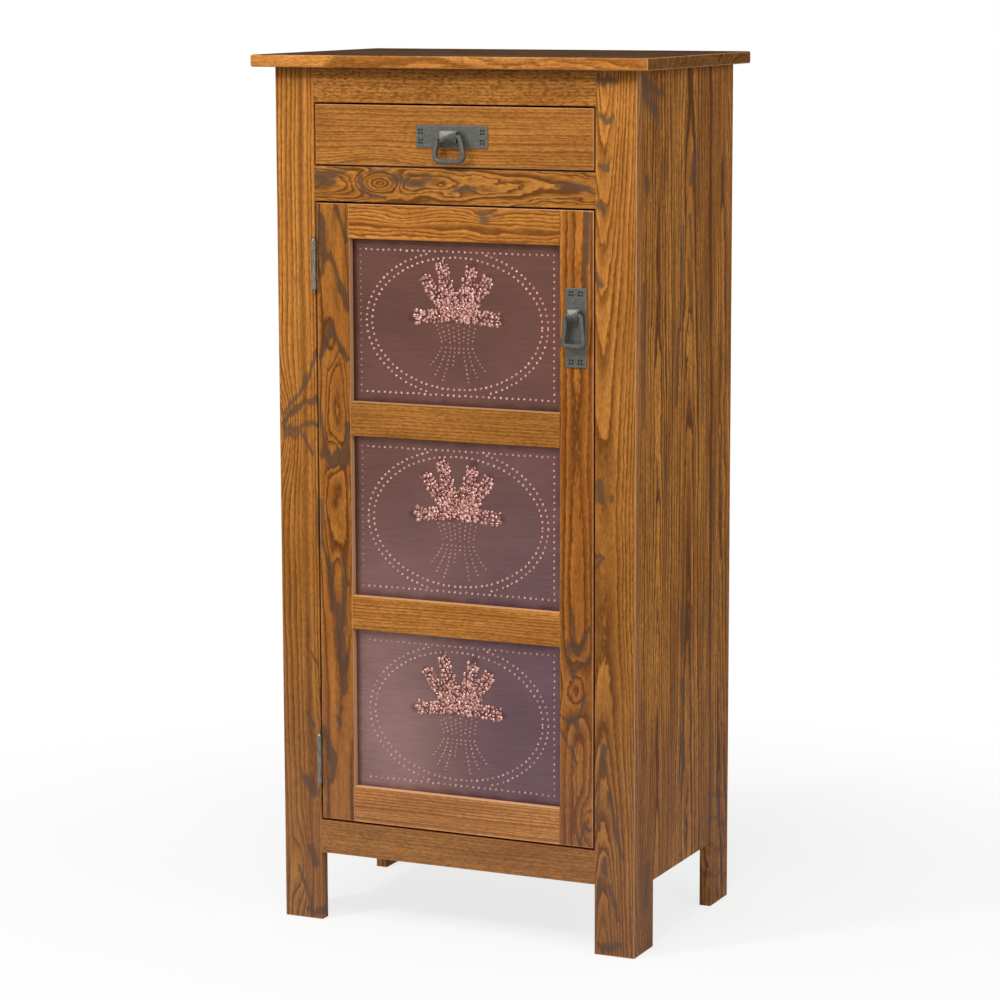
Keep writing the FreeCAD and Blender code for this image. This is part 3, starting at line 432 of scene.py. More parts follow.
# Scorched strokes, in millimetres from a board's middle: across and along at one end, across
# and along at the other, the width, and then the strength.
SCORCHES = {
    "left_front_stile": """33 165 -2 149 4.7 1, -2 149 -26 122 4.3 0.9, 33 124 -24 114 4.7 0.9,
        3 109 -22 105 5.4 0.8, 8 102 26 74 3.6 0.8, 13 188 -24 138 3.6 0.8, 35 238 6 178 4 1,
        30 168 -24 127 3.2 0.8, 19 -246 30 -269 3.6 0.9, 9 -344 21 -366 4 0.8,
        6 -447 22 -473 7.2 1.1, 12 -562 22 -595 5.8 1, -7 -597 12 -663 3.6 0.9,
        6 -672 39 -672 6.3 1.1, 32 2 31 -70 3 0.7""",
    "right_front_stile": """-26 668 -4 668 8 1, -25 613 -13 606 5 0.9, -13 606 -5 620 4 0.6,
        -26 543 -15 534 5.4 1, -15 534 -7 552 3.6 0.6, -29 478 -23 470 7 1, -31 373 -24 360 6 1,
        -27 61 -25 30 6.8 1, -7 37 -6 27 3.2 0.8, -30 -52 -20 -53 4.3 0.9, -29 -69 -25 -63 5.8 0.8,
        -17 -348 -20 -394 6.5 1.1, -10 -421 12 -520 4.3 0.9, -28 -409 -31 -468 4 0.8,
        -16 -527 -16 -551 6.1 1.1, -6 -569 9 -631 4 0.8, -26 -566 -29 -603 3.6 0.8,
        -24 -668 6 -668 7 1""",
    "middle_rail": """10 -233 14 -205 9 1.1, 14 -205 22 -182 5.4 0.9, -1 -232 0 -202 4.5 0.8,
        13 -162 -8 -151 4 1, -8 -151 -18 -117 3.6 0.9, 21 -148 23 -110 2.9 0.8, 14 -99 3 -55 8 0.9,
        14 -44 11 -34 5.4 0.8, -5 0 -1 37 6.3 0.9, 6 183 5 213 5.4 1, 4 221 -3 236 4.3 0.9""",
    "right_side": """-196 668 -108 647 9.5 0.9, -188 650 -136 618 14 0.8, 21 546 9 503 8.6 1,
        44 574 40 448 4.3 0.7, -171 521 -167 503 8.6 0.9, -179 362 -179 145 7 0.75,
        6 451 19 389 5.8 0.8, -19 435 -30 278 5.4 0.8, -38 279 -45 170 7 0.9,
        -15 -170 -14 -228 9.4 0.9, -17 -279 -8 -316 9.4 0.9, -16 -369 -7 -423 10.8 1,
        104 -493 191 -514 5 0.6, 105 -531 192 -555 5 0.6, 115 -579 197 -602 6.5 0.6,
        116 -629 194 -652 6.5 0.6, -160 -546 -164 -609 10.8 0.9, -94 145 -88 -12 5 0.6,
        55 317 67 125 5 0.7, 112 39 121 -174 5.8 0.7""",
    "door_hinge_stile": """-18 466 -14 410 8.3 1.15, -16 410 -18 382 4.3 0.8, 6 484 25 440 5.4 1,
        -3 417 14 358 4.7 0.8, 14 367 24 327 5.4 1.1, -5 301 -5 288 6.5 1.1, -5 291 -21 251 4.7 1,
        -3 291 23 244 4.3 1, -26 175 -19 109 3.6 0.9, 24 149 20 106 5.4 0.9,
        -18 101 18 93 10.8 1.15, -9 87 14 85 7.2 0.8, -28 23 -25 -41 3.2 0.8, -25 -41 -9 -91 4 0.9,
        -11 -75 -5 -155 6 1, 11 -64 19 -102 4.7 1, 15 -102 11 -164 7.2 0.9, 2 -155 12 -231 10 1.15,
        12 -231 12 -283 6.1 0.9, 0 -324 4 -340 6 0.7, -25 -349 -9 -390 6.5 1.15,
        -9 -390 -10 -426 6.8 1.15, -15 -427 -18 -483 2.3 0.7""",
    "door_latch_stile": """17 491 19 416 5.4 1.1, 17 416 16 379 3.6 0.8, -7 -123 -2 -190 3.2 0.8,
        -2 -190 23 -146 3.6 0.9, -7 -179 1 -191 5.4 0.8, -17 -168 -5 -225 3.2 0.8,
        -5 -225 25 -189 3.6 0.8, -26 -283 -2 -295 3.6 0.9, -2 -295 16 -253 3.6 0.9,
        -5 -293 1 -298 6.1 0.9, -26 -307 0 -358 3.2 0.8, 0 -358 1 -419 2.9 0.7,
        15 -455 7 -485 2.9 0.8, 15 -455 23 -470 2.9 0.8""",
    "door_top_rail": "17 47 5 58 6 1, 17 57 12 80 3.2 0.7",
}
SCORCHES["left_side"] = SCORCHES["right_side"]

ARRIS_WIDTH = 1.5 * MM
PORE_AMOUNT = 0.45
WOOD_RELIEF, COPPER_RELIEF, PEWTER_RELIEF, FINE_RELIEF = 0.25 * MM, 0.2 * MM, 0.14 * MM, 0.05 * MM
# A board's brightness changes between two heights, partly its own tone and partly painted light
# that falls off lower down, and a painted shadow darkens the last bit under the top board.
SHADE_HEIGHTS = (0.5, 1.2)
EAVES_SHADOW_REACH, EAVES_SHADOW = (18 * MM, 3 * MM), 0.68

# Punched pattern, in millimetres from the middle of a panel: across to the right, and up.
BORDER_HALF = (165.0, 111.5)
BORDER_PITCH = 10.0
OVALS = ((155.0, 113.5), (145.5, 102.5))
OVAL_PITCH = 9.4
EARS = (((-6, 16), (-27, 98)), ((8, 16), (29, 92)), ((14, 12), (56, 72)),
        ((-12, 12), (-55, 71)), ((-12, 14), (-77, 8)), ((14, 14), (76, 9)))
EAR_PITCH = 6.6
# Columns of an ear: how far aside and how much turned each is, and its start in pitches.
EAR_COLUMNS = ((-8.4, -0.7, 0.0), (-2.8, -0.2, 0.5), (2.8, 0.2, 0.0), (8.4, 0.7, 0.5))
KERNEL_RADIUS, KERNEL_HEIGHT, KERNEL_STRETCH = 3.0, 2.2, 1.2
HUSK_MIDDLE, HUSK_HALF = (1, 30), (32.0, 28.0)
HUSK_KERNELS = 44
HUSK_ROOT = -30
STEM_TOP, WAIST = -3.0, -31.0
# Stalks: across at the top, across at the tie, and across and up at the foot.
STEMS = ((-33, -24, -47, -68), (-23.7, -16.9, -36.6, -80), (-14.4, -9.7, -23.4, -89),
         (-5.1, -2.6, -6, -65), (4.1, 4.6, 4, -46), (13.4, 11.7, 21, -92),
         (22.7, 18.9, 36, -83.5), (32, 26, 50, -73))
STEM_PITCH = 6.6
DOT_RADIUS, DOT_HEIGHT = 2.0, 1.1
DENT_RADIUS, DENT_FLOOR, DENT_HEIGHT = 1.5, 1.2, 0.2

# Painted shadow that lies under the husk and the ears: two ends of a stroke, its width and its
# strength.
EAR_SHADOWS = [*((*foot, *tip, 9.0, 1.0) for foot, tip in EARS), (-14, 30, 16, 30, 22.0, 1.0)]
# A sheet's copper low down, high up, in a cooler painted reflection, in a warmer painted
# reflection, and in the painted shadow under the ears; low down against high up is a painted
# reflection too.
COPPER = {"Fresh": ((133, 100, 95), (108, 72, 62), (104, 80, 94), (158, 126, 122), (84, 46, 36)),
          "Aged": ((122, 91, 87), (100, 66, 56), (98, 75, 88), (144, 114, 110), (70, 36, 28))}


def frayed(tree, vector):
    """Shift a place by some millimetres, mostly along the grain, to fray what is drawn on it."""
    noise = tree.noise(vector, FRAYS, output="Color")
    centred = tree.vector("SUBTRACT", noise, (0.5, 0.5, 0.5))
    return tree.vector("ADD", vector, tree.vector("MULTIPLY", centred, FRAY_REACH))


def humps(tree, vector, marks):
    """Add up soft humps from a table of swells."""
    total = 0.0
    for across, along, wide, long, lift in marks:
        hump = tree.place(HUMP, Vector=vector, Place=(across * MM, 0.0, along * MM),
                          Size=(wide * MM, 1.0, long * MM), Lift=lift * MM)["Hump"]
        total = tree.math("ADD", total, hump)
    return total


def strokes(tree, vector, marks):
    """Add up soft strokes from a table of scorches."""
    total = 0.0
    for across, along, to_across, to_along, width, lift in marks:
        reach = Vector((to_across - across, 0.0, to_along - along)) * MM
        stroke = tree.place(STROKE, Vector=vector, Start=(across * MM, 0.0, along * MM),
                            Reach=reach, Slope=reach / reach.length_squared,
                            Width=width * MM, Lift=lift)
        total = tree.math("ADD", total, stroke["Hump"])
    return total


def marks_of(table, name):
    """Read a board's rows of numbers from a table."""
    rows = table[name].split(",") if name in table else ()
    return [[float(number) for number in row.split()] for row in rows]


def near_end(tree, value, end, far, near, most=1.0):
    """Rise over the last bit of a length, between two distances in millimetres from its end."""
    return tree.ease(value, end - far * MM, end - near * MM, 0.0, most)


def wood(name, lay, colours, figure, seed, line=0.95, speck=0.3, smoke=0.3, staves=None,
         gloss=0.1, leaf=None, worn=None, dusky=False, ledge=None, sill=False, shade=(1.0, 1.0)):
    """Cut a board's material from a stain and a figure.

    Edges between the corners in worn get a pale painted highlight, and those between the
    corners in leaf are tinted. A ledge is a pale painted highlight in a strip at the end of
    an axis, a sill tints the top, and a dusky board has painted shade on its top and ends.
    Shade is the brightness low down and high up: partly the board's own tone, partly painted
    light that falls off lower down; a painted shadow also darkens the last bit under the top board.
    """
    low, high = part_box(name)
    material, tree, shader, place = new_material(f"{name}_wood")
    along, across = (AXES[axis] for axis in lay)
    turn = Matrix((across, along.cross(across), along)).transposed().to_euler()
    board = tree.add("Mapping", {"Vector": place, "Location": (low + high) / 2, "Rotation": turn},
                     vector_type="TEXTURE").outputs[0]
    swell = humps(tree, board, marks_of(SWELLS, name))
    scorches = marks_of(SCORCHES, name)
    scorch = strokes(tree, frayed(tree, board), scorches) if scorches else 0.0
    seam = 0.0
    if staves:
        first, second = staves
        split = tree.place(STAVES, Vector=board, First=first * MM, Second=second * MM)
        board, seam = split["Vector"], split["Seam"]
    across_heart, deep_heart = figure["heart"]
    grown = tree.place(
        GROWTH, Vector=board, Heart=(across_heart * MM, -deep_heart * MM, 0.0),
        Lean=figure["lean"], Bow=figure["bow"], Swell=swell, Scorch=scorch, Smoke=smoke,
        Seed=seed, **{size: figure[size.lower()] * MM for size in ("Ring", "Wander", "Ripple")})

    apart = tree.apart(place)
    up = apart["Z"]
    edge = rim_mask(tree, place, *leaf) if leaf else 0.0
    if sill:
        edge = near_end(tree, up, high.z, 0.5, 0.1)
    # Painted highlight along the edges inside worn.
    edge_glint = edge_mask(tree, place, *worn, ARRIS_WIDTH) if worn else 0.0
    # Painted highlight in a strip at the upper end of the ledge axis: the rails' ledges and the
    # hinge stile's reveal.
    if ledge:
        strip = near_end(tree, apart[ledge.upper()], getattr(high, ledge), 0.7, 0.2, 1.7)
        edge_glint = tree.math("MAXIMUM", edge_glint, strip)
    # The board's tone, with painted light that falls off lower down.
    top, shaded = 0.0, tree.ease(up, *SHADE_HEIGHTS, *shade)
    # Painted shade: darken the top board's top and its ends.
    if dusky:
        ends = near_end(tree, tree.math("ABSOLUTE", apart["X"]), high.x, 0.6, 0.2, 0.62)
        top = tree.math("MAXIMUM", near_end(tree, up, high.z, 0.6, 0.2), ends)
    else:
        # Painted shadow under the top board's overhang.
        first, last = EAVES_SHADOW_REACH
        eaves_shadow = tree.ease(up, EAVES - first, EAVES - last, 1.0, EAVES_SHADOW)
        shaded = tree.times(shaded, eaves_shadow)
    stained = tree.place(
        STAIN, **{mark: grown[mark] for mark in FIGURE.split()}, **colours, LineAmount=line,
        PoreAmount=PORE_AMOUNT, SpeckAmount=speck, Seam=seam, Edge=edge, Up=up, Arris=edge_glint,
        Top=top, Shade=shaded)
    shader["Specular IOR Level"].default_value = gloss
    surface(tree, shader, stained["Color"], stained["Roughness"], 0.0, stained["Height"],
            WOOD_RELIEF)
    return material


def dress(name, material):
    """Give every face of a piece one material."""
    materials = nodes[name].data.materials
    materials.clear()
    materials.append(material)


seeds = itertools.count(1)


def dress_board(name, lay, colours, figure, **marks):
    """Dress a board in wood. A mark with the name of a figure's value stands in for that value."""
    changes = {key: marks.pop(key) for key in list(marks) if key in figure}
    dress(name, wood(name, lay, colours, figure | changes, float(next(seeds)), **marks))


def dress_case():
    foot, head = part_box("left_side")[0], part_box("right_side")[1]
    clear = 0.1  # The case's top edges are hidden, so the box of painted edge highlights ends above them.
    worn = (Vector((foot.x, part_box("left_front_stile")[0].y, 0.0)),
            Vector((head.x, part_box("back_panel")[1].y, head.z + clear)))
    dress_board("left_front_stile", UPRIGHT, OAK, STRAIGHT, heart=(170, 60), ring=8.8, wander=20,
                smoke=0.2, worn=worn, shade=(0.84, 1.02))
    dress_board("right_front_stile", UPRIGHT, OAK, FLAT, heart=(-19, 52), lean=0.0, bow=-0.085,
                ring=5.2, wander=12, ripple=4, smoke=0.2, worn=worn, shade=(0.8, 1.0))
    dress_board("top_rail", LEVEL, OAK, FINE, line=0.5, speck=0.75, smoke=0.1, shade=(0.85, 0.85))
    dress_board("middle_rail", LEVEL, BRIGHT_RIM_OAK, FLAT, heart=(2, 14), lean=0.05, ring=4.4,
                wander=12, ripple=13, line=1.3, smoke=0.2, sill=True, shade=(0.84, 0.84))
    dress_board("bottom_rail", LEVEL, OAK, FINE, line=0.5, speck=0.45, smoke=0.1, sill=True,
                shade=(0.8, 0.8))
    for side in SIDES:
        dress_board(f"{side}_side", SIDE, SIDE_OAK, FLAT, heart=(-120, 34), lean=0.02, wander=26,
                    ring=5.4, smoke=0.9, speck=0.4, line=1.15, staves=(-61.5, 139.5), gloss=0.03,
                    worn=worn, shade=(1.0, 1.08))
    dress_board("top_board", FLOOR, TOP_OAK, FLAT, heart=(-75, 30), speck=0.4, line=0.7,
                staves=(-60, 75), gloss=0.0, worn=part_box("top_board"), dusky=True)
    for name in ("bottom_board", "upper_shelf"):
        dress_board(name, FLOOR, OAK, STRAIGHT, staves=(-60, 75))
    dress_board("lower_shelf", FLOOR, OAK, FLAT, staves=(-50, 80))
    dress_board("door_stop", LEVEL, OAK, STRAIGHT)
    dress_board("back_panel", UPRIGHT, PALE_WOOD, FLAT, ring=14, wander=120, staves=(-100, 100),
                **PLAIN)
    for name in ("drawer_divider", "front_stretcher", "back_stretcher"):
        dress_board(name, FLOOR, PALE_WOOD, FLAT, **PLAIN)
    dress_board("drawer_stops", LEVEL, PALE_WOOD, STRAIGHT, **PLAIN)
    for side in SIDES:
        for part in ("guide", "kicker"):
            dress_board(f"{side}_drawer_{part}", CROSSWISE, PALE_WOOD, STRAIGHT, **PLAIN)
        for shelf in ("upper", "lower"):
            dress_board(f"{side}_{shelf}_shelf_cleat", CROSSWISE, OAK, STRAIGHT)


def dress_door():
    leaf = (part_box("door_hinge_stile")[0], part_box("door_latch_stile")[1])
    outer = {"leaf": leaf, "worn": leaf}
    dress_board("door_hinge_stile", UPRIGHT, DEEP_OAK, FLAT, heart=(4, 26), lean=0.0, bow=0.03,
                ring=7.0, wander=34, smoke=0.3, ledge="x", shade=(0.9, 0.78), **outer)
    dress_board("door_latch_stile", UPRIGHT, DEEP_OAK, FLAT, heart=(2, 40), lean=0.0, ring=4.8,
                wander=12, ripple=3, smoke=0.2, shade=(0.93, 1.08), **outer)
    dress_board("door_top_rail", LEVEL, OAK, FLAT, heart=(-40, 20), lean=0.0, ring=5.6, wander=14,
                ripple=11, line=1.15, smoke=0.2, shade=(1.12, 1.12), **outer)
    for name, line, shade, marks in (("upper", 0.6, 0.78, {}), ("lower", 0.7, 1.03, {}),
                                     ("bottom", 0.8, 1.2, outer)):
        dress_board(f"door_{name}_rail", LEVEL, OAK, FINE, line=line, speck=0.4, smoke=0.1,
                    ledge="z", shade=(shade, shade), **marks)
    for panel in PANELS:
        dress_board(f"{panel}_panel_beads", LEVEL, OAK, STRAIGHT, line=0.5)


def dress_drawer():
    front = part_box("drawer_front")
    dress_board("drawer_front", LEVEL, BRIGHT_RIM_OAK, FINE, heart=(110, 20), ring=6.0, ripple=4,
                line=0.7, speck=0.4, smoke=0.05, leaf=front, worn=front, shade=(0.82, 0.82))
    for side in SIDES:
        dress_board(f"drawer_{side}_side", CROSSWISE, PALE_WOOD, FLAT, **PLAIN)
    dress_board("drawer_back", LEVEL, PALE_WOOD, FLAT, **PLAIN)
    dress_board("drawer_bottom", FLOOR, PALE_WOOD, FLAT, **PLAIN)


def copper_sheet(name):
    """Age a sheet, and paint reflections on it: cooler low at the right, warmer low at the left,
    and changing with height; and paint shadow under the ears.
    """
    material, tree, shader, place = new_material(f"{name}_copper")
    low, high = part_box(name)
    apart = tree.apart(place)
    across, into, up = (apart[axis] for axis in "XYZ")
    middle = tree.vector("SUBTRACT", place, (low + high) / 2)
    # Painted reflections: cooler low at the right, warmer low at the left.
    cool_reflection = tree.times(tree.ease(across, -0.12, 0.12), tree.ease(up, 0.95, 0.3))
    cool_reflection = tree.times(cool_reflection, 0.7)
    warm_reflection = tree.times(tree.ease(across, -0.13, 0.03, 0.6, 0.0),
                      tree.ease(up, 0.3, 0.75, 1.0, 0.0))
    front = tree.ease(into, low.y + 0.2 * MM, low.y + 0.5 * MM, 1.0, 0.0)
    # Painted shadow under the husk and the ears, on the front face only.
    ear_shadow = tree.ease(strokes(tree, middle, EAR_SHADOWS), 0.3, 0.9, 0.0, 0.45)
    ear_shadow = tree.times(front, ear_shadow)
    # Painted reflection that changes the copper from low down to high up.
    height_reflection = tree.ease(up, 0.15, 1.1)
    tones = {}
    for tone, colours in COPPER.items():
        body, *others = (srgb(*colour) for colour in colours)
        for mask, other in zip((height_reflection, cool_reflection, warm_reflection, ear_shadow), others):
            body = tree.mix(mask, body, other)
        tones[tone] = body
    rim = edge_mask(tree, place, low, high, 16 * MM)
    made = tree.place(PATINA, Vector=place, Rim=rim, **tones)
    surface(tree, shader, made["Color"], made["Roughness"], 0.8, made["Height"], COPPER_RELIEF)
    return material


def struck_copper(name, bright, dull, low_light_share=1.0):
    """Copper that the punch has stretched, with painted light: a share of its brightness low down,
    painted shade on the left column and a painted highlight at the right.
    """
    material, tree, shader, place = new_material(name)
    specks = tree.noise(place, (260, 260, 260))
    pale = tree.mix(tree.ease(specks, 0.42, 0.58), srgb(*bright), srgb(*dull))
    apart = tree.apart(place)
    across, up = apart["X"], apart["Z"]
    # Painted light: brighter or darker low down.
    pale = tree.mix(1.0, pale, tree.ease(up, 0.25, 0.9, low_light_share, 1.0), "MULTIPLY")
    # Painted shadow on the left column of dots, near the stile.
    pale = tree.mix(tree.ease(across, -0.162, -0.156, 0.65, 0.0), pale, srgb(112, 74, 66))
    # Painted highlight that warms and brightens the dots at the right, most of all higher up.
    right_glint = tree.times(tree.ease(across, 0.1, 0.17, 0.0, 0.6),
                      tree.ease(up, 0.35, 0.8, 0.15, 1.0))
    pale = tree.mix(right_glint, pale, srgb(240, 146, 130))
    surface(tree, shader, pale, tree.scaled(specks, 0.2, 0.22), 0.6)
    return material


def pewter(name, part):
    """Hammered pewter, with painted highlights along its edges, painted light and shade on the
    slopes of a boss, and painted shade in a plate's sunk squares.
    """
    low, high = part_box(name)
    material, tree, shader, place = new_material(f"{name}_pewter")
    beaten = tree.place(HAMMERED, Vector=place, Dent=2.4 * MM)
    # Painted highlight along the edges.
    worn = edge_mask(tree, place, low, high, 0.9 * MM)
    body = tree.mix(beaten["Rub"], srgb(70, 70, 65), srgb(96, 95, 88))
    body = tree.mix(tree.times(worn, 0.6), body, srgb(134, 132, 122))
    apart = tree.apart(place)
    middle = (low + high) / 2
    if part == "boss":
        # Painted light on a boss's upper left slopes, and painted shade on its lower slopes.
        light_slant = tree.scaled(tree.math("SUBTRACT", apart["X"], middle.x), -0.4,
                            tree.math("SUBTRACT", apart["Z"], middle.z))
        body = tree.mix(tree.ease(light_slant, 0.5 * MM, 6 * MM, 0.0, 0.5), body, srgb(172, 170, 160))
        body = tree.mix(tree.ease(light_slant, -1 * MM, -5 * MM, 0.0, 0.5), body, srgb(40, 40, 38))
    if part == "plate":
        # Painted shade in the plate's sunk squares.
        inner = tree.math("SUBTRACT", 1.0, rim_mask(tree, place, low, high))
        sunk = tree.ease(apart["Y"], low.y + 0.3 * MM, low.y + 0.6 * MM)
        body = tree.mix(tree.times(sunk, inner), body, srgb(34, 26, 20))
    rough = tree.scaled(beaten["Rub"], -0.1, 0.52)
    surface(tree, shader, body, rough, 0.4, beaten["Height"], PEWTER_RELIEF)
    return material


def plain_metal(name, dull, bright, roughness):
    """A lightly brushed metal of two close tones."""
    material, tree, shader, place = new_material(name)
    specks = tree.noise(place, (500, 500, 60), 3.0)
    tones = tree.mix(tree.ease(specks, 0.3, 0.7), srgb(*dull), srgb(*bright))
    rough = tree.scaled(specks, 0.2, roughness)
    surface(tree, shader, tones, rough, 0.8, specks, FINE_RELIEF)
    return material


def brown_plastic():
    material, tree, shader, place = new_material("brown_plastic")
    grains = tree.noise(place, (1500, 1500, 1500))
    brown = tree.mix(grains, srgb(92, 58, 36), srgb(110, 72, 46))
    surface(tree, shader, brown, 0.5, 0.0, grains, FINE_RELIEF)
    return material


def dress_metals():
    for panel in PANELS:
        dress(f"{panel}_copper_panel", copper_sheet(f"{panel}_copper_panel"))
    for pull, part in itertools.product(("drawer_pull", "door_pull"), ("plate", "boss", "bail")):
        dress(f"{pull}_{part}", pewter(f"{pull}_{part}", part))
    bronzed = plain_metal("bronzed_steel", (98, 92, 84), (140, 132, 120), 0.34)
    for name in ("case_hinge_leaves", "door_hinge_leaves", "hinge_pins"):
        dress(name, bronzed)
    steel = plain_metal("zinc_steel", (150, 150, 146), (186, 186, 180), 0.3)
    for name in ("door_strike_plate", "drawer_pull_screw", "door_pull_screw"):
        dress(name, steel)
    dress("magnetic_catch", brown_plastic())


# ---- new pieces


def link(name, data):
    """Put a mesh, a lamp or a camera into the scene."""
    item = bpy.data.objects.new(name, data)
    bpy.context.scene.collection.objects.link(item)
    return item


def link_mesh(name, mesh):
    """Turn a bmesh into an object of the scene."""
    data = bpy.data.meshes.new(name)
    mesh.to_mesh(data)
    mesh.free()
    return link(name, data)


def finish_piece(name, mesh, material, body):
    """Turn a bmesh into a piece that rides on a body."""
    bmesh.ops.recalc_face_normals(mesh, faces=mesh.faces)
    piece = link_mesh(name, mesh)
    piece.data.materials.append(material)
    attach(piece, body)


def spaced(curve, pitch):
    """Walk along a curve, given for 0 to 1, and list points that lie a pitch apart."""
    steps = 600
    points, gone, last = [curve(0.0)], 0.0, curve(0.0)
    for step in range(1, steps + 1):
        here = curve(step / steps)
        gone += (here - last).length
        last = here
        if gone >= pitch:
            points.append(here)
            gone -= pitch
    return points


def border_points():
    """List the dots of the square border."""
    half_across, half_up = BORDER_HALF
    columns = round(2 * half_across / BORDER_PITCH)
    rows = round(2 * half_up / BORDER_PITCH)
    across = [half_across * (2 * column / columns - 1) for column in range(columns + 1)]
    up = [half_up * (2 * row / rows - 1) for row in range(1, rows)]
    return [Vector((x, side * half_up)) for x in across for side in (-1, 1)] + \
           [Vector((side * half_across, z)) for z in up for side in (-1, 1)]


def oval_points():
    """List the dots of both ovals, less those that would fall on the border."""
    points = []
    for wide, tall in OVALS:
        oval = spaced(lambda turn: Vector((wide * math.cos(2 * math.pi * turn),
                                           tall * math.sin(2 * math.pi * turn))), OVAL_PITCH)
        points += [point for point in oval if abs(point.y) < BORDER_HALF[1] - DOT_RADIUS * 2]
    return points


def stem_points():
    """List the dots of the stalks, which draw in at the tie and flare below it."""
    points = []
    for index, (top, waist, foot_across, foot_up) in enumerate(STEMS):
        start = STEM_TOP - STEM_PITCH / 2 * (index % 2)
        head, tie = Vector((top, start)), Vector((waist, WAIST))
        points += spaced(lambda t: head.lerp(tie, t), STEM_PITCH)
        reach = Vector((foot_across, foot_up)) - tie
        points += spaced(lambda t: tie + Vector((reach.x * t ** 1.5, reach.y * t)), STEM_PITCH)[1:]
    return points


def kernel_marks():
    """List the kernels of the ears and of the husk, as a point and the way that each one points."""
    chance = random.Random(11)
    marks = []
    for foot, tip in EARS:
        foot, tip = Vector(foot), Vector(tip)
        way = (tip - foot).normalized()
        aside = Vector((-way.y, way.x))
        lean = math.atan2(way.y, way.x)
        for offset, tilt, start in EAR_COLUMNS:
            for row in spaced(lambda t: foot.lerp(tip, t), EAR_PITCH):
                shift = Vector((chance.gauss(0, 1.0), chance.gauss(0, 1.0)))
                ahead = way * (start * EAR_PITCH - abs(offset) * 0.5)
                marks.append((row + aside * offset + ahead + shift, lean + tilt))
    for _ in range(HUSK_KERNELS):
        turn, reach = chance.uniform(0, 2 * math.pi), math.sqrt(chance.random())
        point = Vector((HUSK_MIDDLE[0] + HUSK_HALF[0] * reach * math.cos(turn),
                        HUSK_MIDDLE[1] + HUSK_HALF[1] * reach * math.sin(turn)))
        marks.append((point, math.atan2(point.y - HUSK_ROOT, point.x) + chance.gauss(0, 0.4)))
    return marks


def end_face(cone, side):
    """Pick the face of a new cone that looks to the front, with -1, or to the back, with 1."""
    faces = {face for vertex in cone["verts"] for face in vertex.link_faces}
    return max(faces, key=lambda face: side * face.calc_center_median().y)


def stud(mesh, place, radius, narrowed, height, turned=Matrix.Identity(4)):
    """Stand a short cone on a sheet that faces the front, and return the face at its end."""
    stand = Matrix.Rotation(math.pi / 2, 4, "X") @ Matrix.Translation((0, 0, height / 2))
    cone = bmesh.ops.create_cone(mesh, cap_ends=True, segments=10, radius1=radius,
                                 radius2=radius * narrowed, depth=height,
                                 matrix=Matrix.Translation(place) @ turned @ stand)
    return end_face(cone, -1)


def punch(mesh, place, radius, height):
    """Raise one struck dot with a dimpled top."""
    top = stud(mesh, place, radius, 0.6, height)
    bmesh.ops.inset_region(mesh, faces=[top], thickness=radius * 0.22, depth=-height * 0.3)


def emboss(mesh, place, radius, height, turn):
    """Raise one blunt kernel with a dimple, long the way it is turned."""
    turned = Matrix.Rotation(-turn, 4, "Y") @ Matrix.Diagonal((KERNEL_STRETCH, 1, 1, 1))
    top = stud(mesh, place, radius, 0.9, height * 0.6, turned)
    bmesh.ops.inset_region(mesh, faces=[top], thickness=radius * 0.34, depth=height * 0.4)
    bmesh.ops.inset_region(mesh, faces=[top], thickness=radius * 0.2, depth=-height * 0.45)


def spot(point, chance):
    """Turn a point of the pattern into a place on a sheet at the origin, a little off true."""
    return Vector((point.x + chance.gauss(0, 0.25), 0.0, point.y + chance.gauss(0, 0.25))) * MM


def dot_marks(points, share):
    """Strike a dot at each point, at a share of the full size."""
    chance, mesh = random.Random(3), bmesh.new()
    for point in points:
        size = share * chance.uniform(0.92, 1.08) * MM
        punch(mesh, spot(point, chance), DOT_RADIUS * size, DOT_HEIGHT * size)
    return mesh


def ear_marks():
    """Make the ears of wheat."""
    chance, mesh = random.Random(5), bmesh.new()
    for point, lean in kernel_marks():
        emboss(mesh, spot(point, chance), KERNEL_RADIUS * chance.uniform(0.8, 1.15) * MM,
               KERNEL_HEIGHT * chance.uniform(0.75, 1.2) * MM, lean + chance.gauss(0, 0.3))
    return mesh


def dent_marks():
    """Make the shallow dents that the dots and the kernels leave in the back of a sheet."""
    chance, mesh = random.Random(3), bmesh.new()
    kernels = [point for point, _ in kernel_marks()]
    for point in border_points() + oval_points() + stem_points() + kernels:
        stand = Matrix.Translation(spot(point, chance)) @ Matrix.Rotation(-math.pi / 2, 4, "X")
        cone = bmesh.ops.create_cone(
            mesh, cap_ends=True, segments=8, radius1=DENT_RADIUS * MM, radius2=DENT_FLOOR * MM,
            depth=DENT_HEIGHT * MM, matrix=stand)
        top = end_face(cone, 1)
        bmesh.ops.inset_region(mesh, faces=[top], thickness=0.3 * MM, depth=-0.15 * MM)
    return mesh


def make_copper_marks():
    """Strike the same pattern into each of the panels, and leave its dents in their backs."""
    patterns = (
        ("border_marks", dot_marks(border_points() + oval_points(), 1.0),
         struck_copper("struck_dots", (226, 190, 182), (190, 148, 138), 0.75)),
        ("stalk_marks", dot_marks(stem_points(), 0.85),
         struck_copper("struck_stalks", (178, 138, 130), (150, 110, 102), 1.15)),
        ("ear_marks", ear_marks(), struck_copper("struck_ears", (214, 172, 164), (134, 82, 70))),
        # The dents in the backs are dark copper, as painted shade in them.
        ("back_dents", dent_marks(), struck_copper("dent_shade_copper", (60, 38, 34), (44, 28, 25))))
    for panel, (name, marks, copper) in itertools.product(PANELS, patterns):
        low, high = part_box(f"{panel}_copper_panel")
        mesh = marks.copy()
        face = high.y if name == "back_dents" else low.y
        shift = ((low.x + high.x) / 2, face, (low.z + high.z) / 2)
        bmesh.ops.translate(mesh, verts=mesh.verts, vec=shift)
        finish_piece(f"{panel}_{name}", mesh, copper, "door")


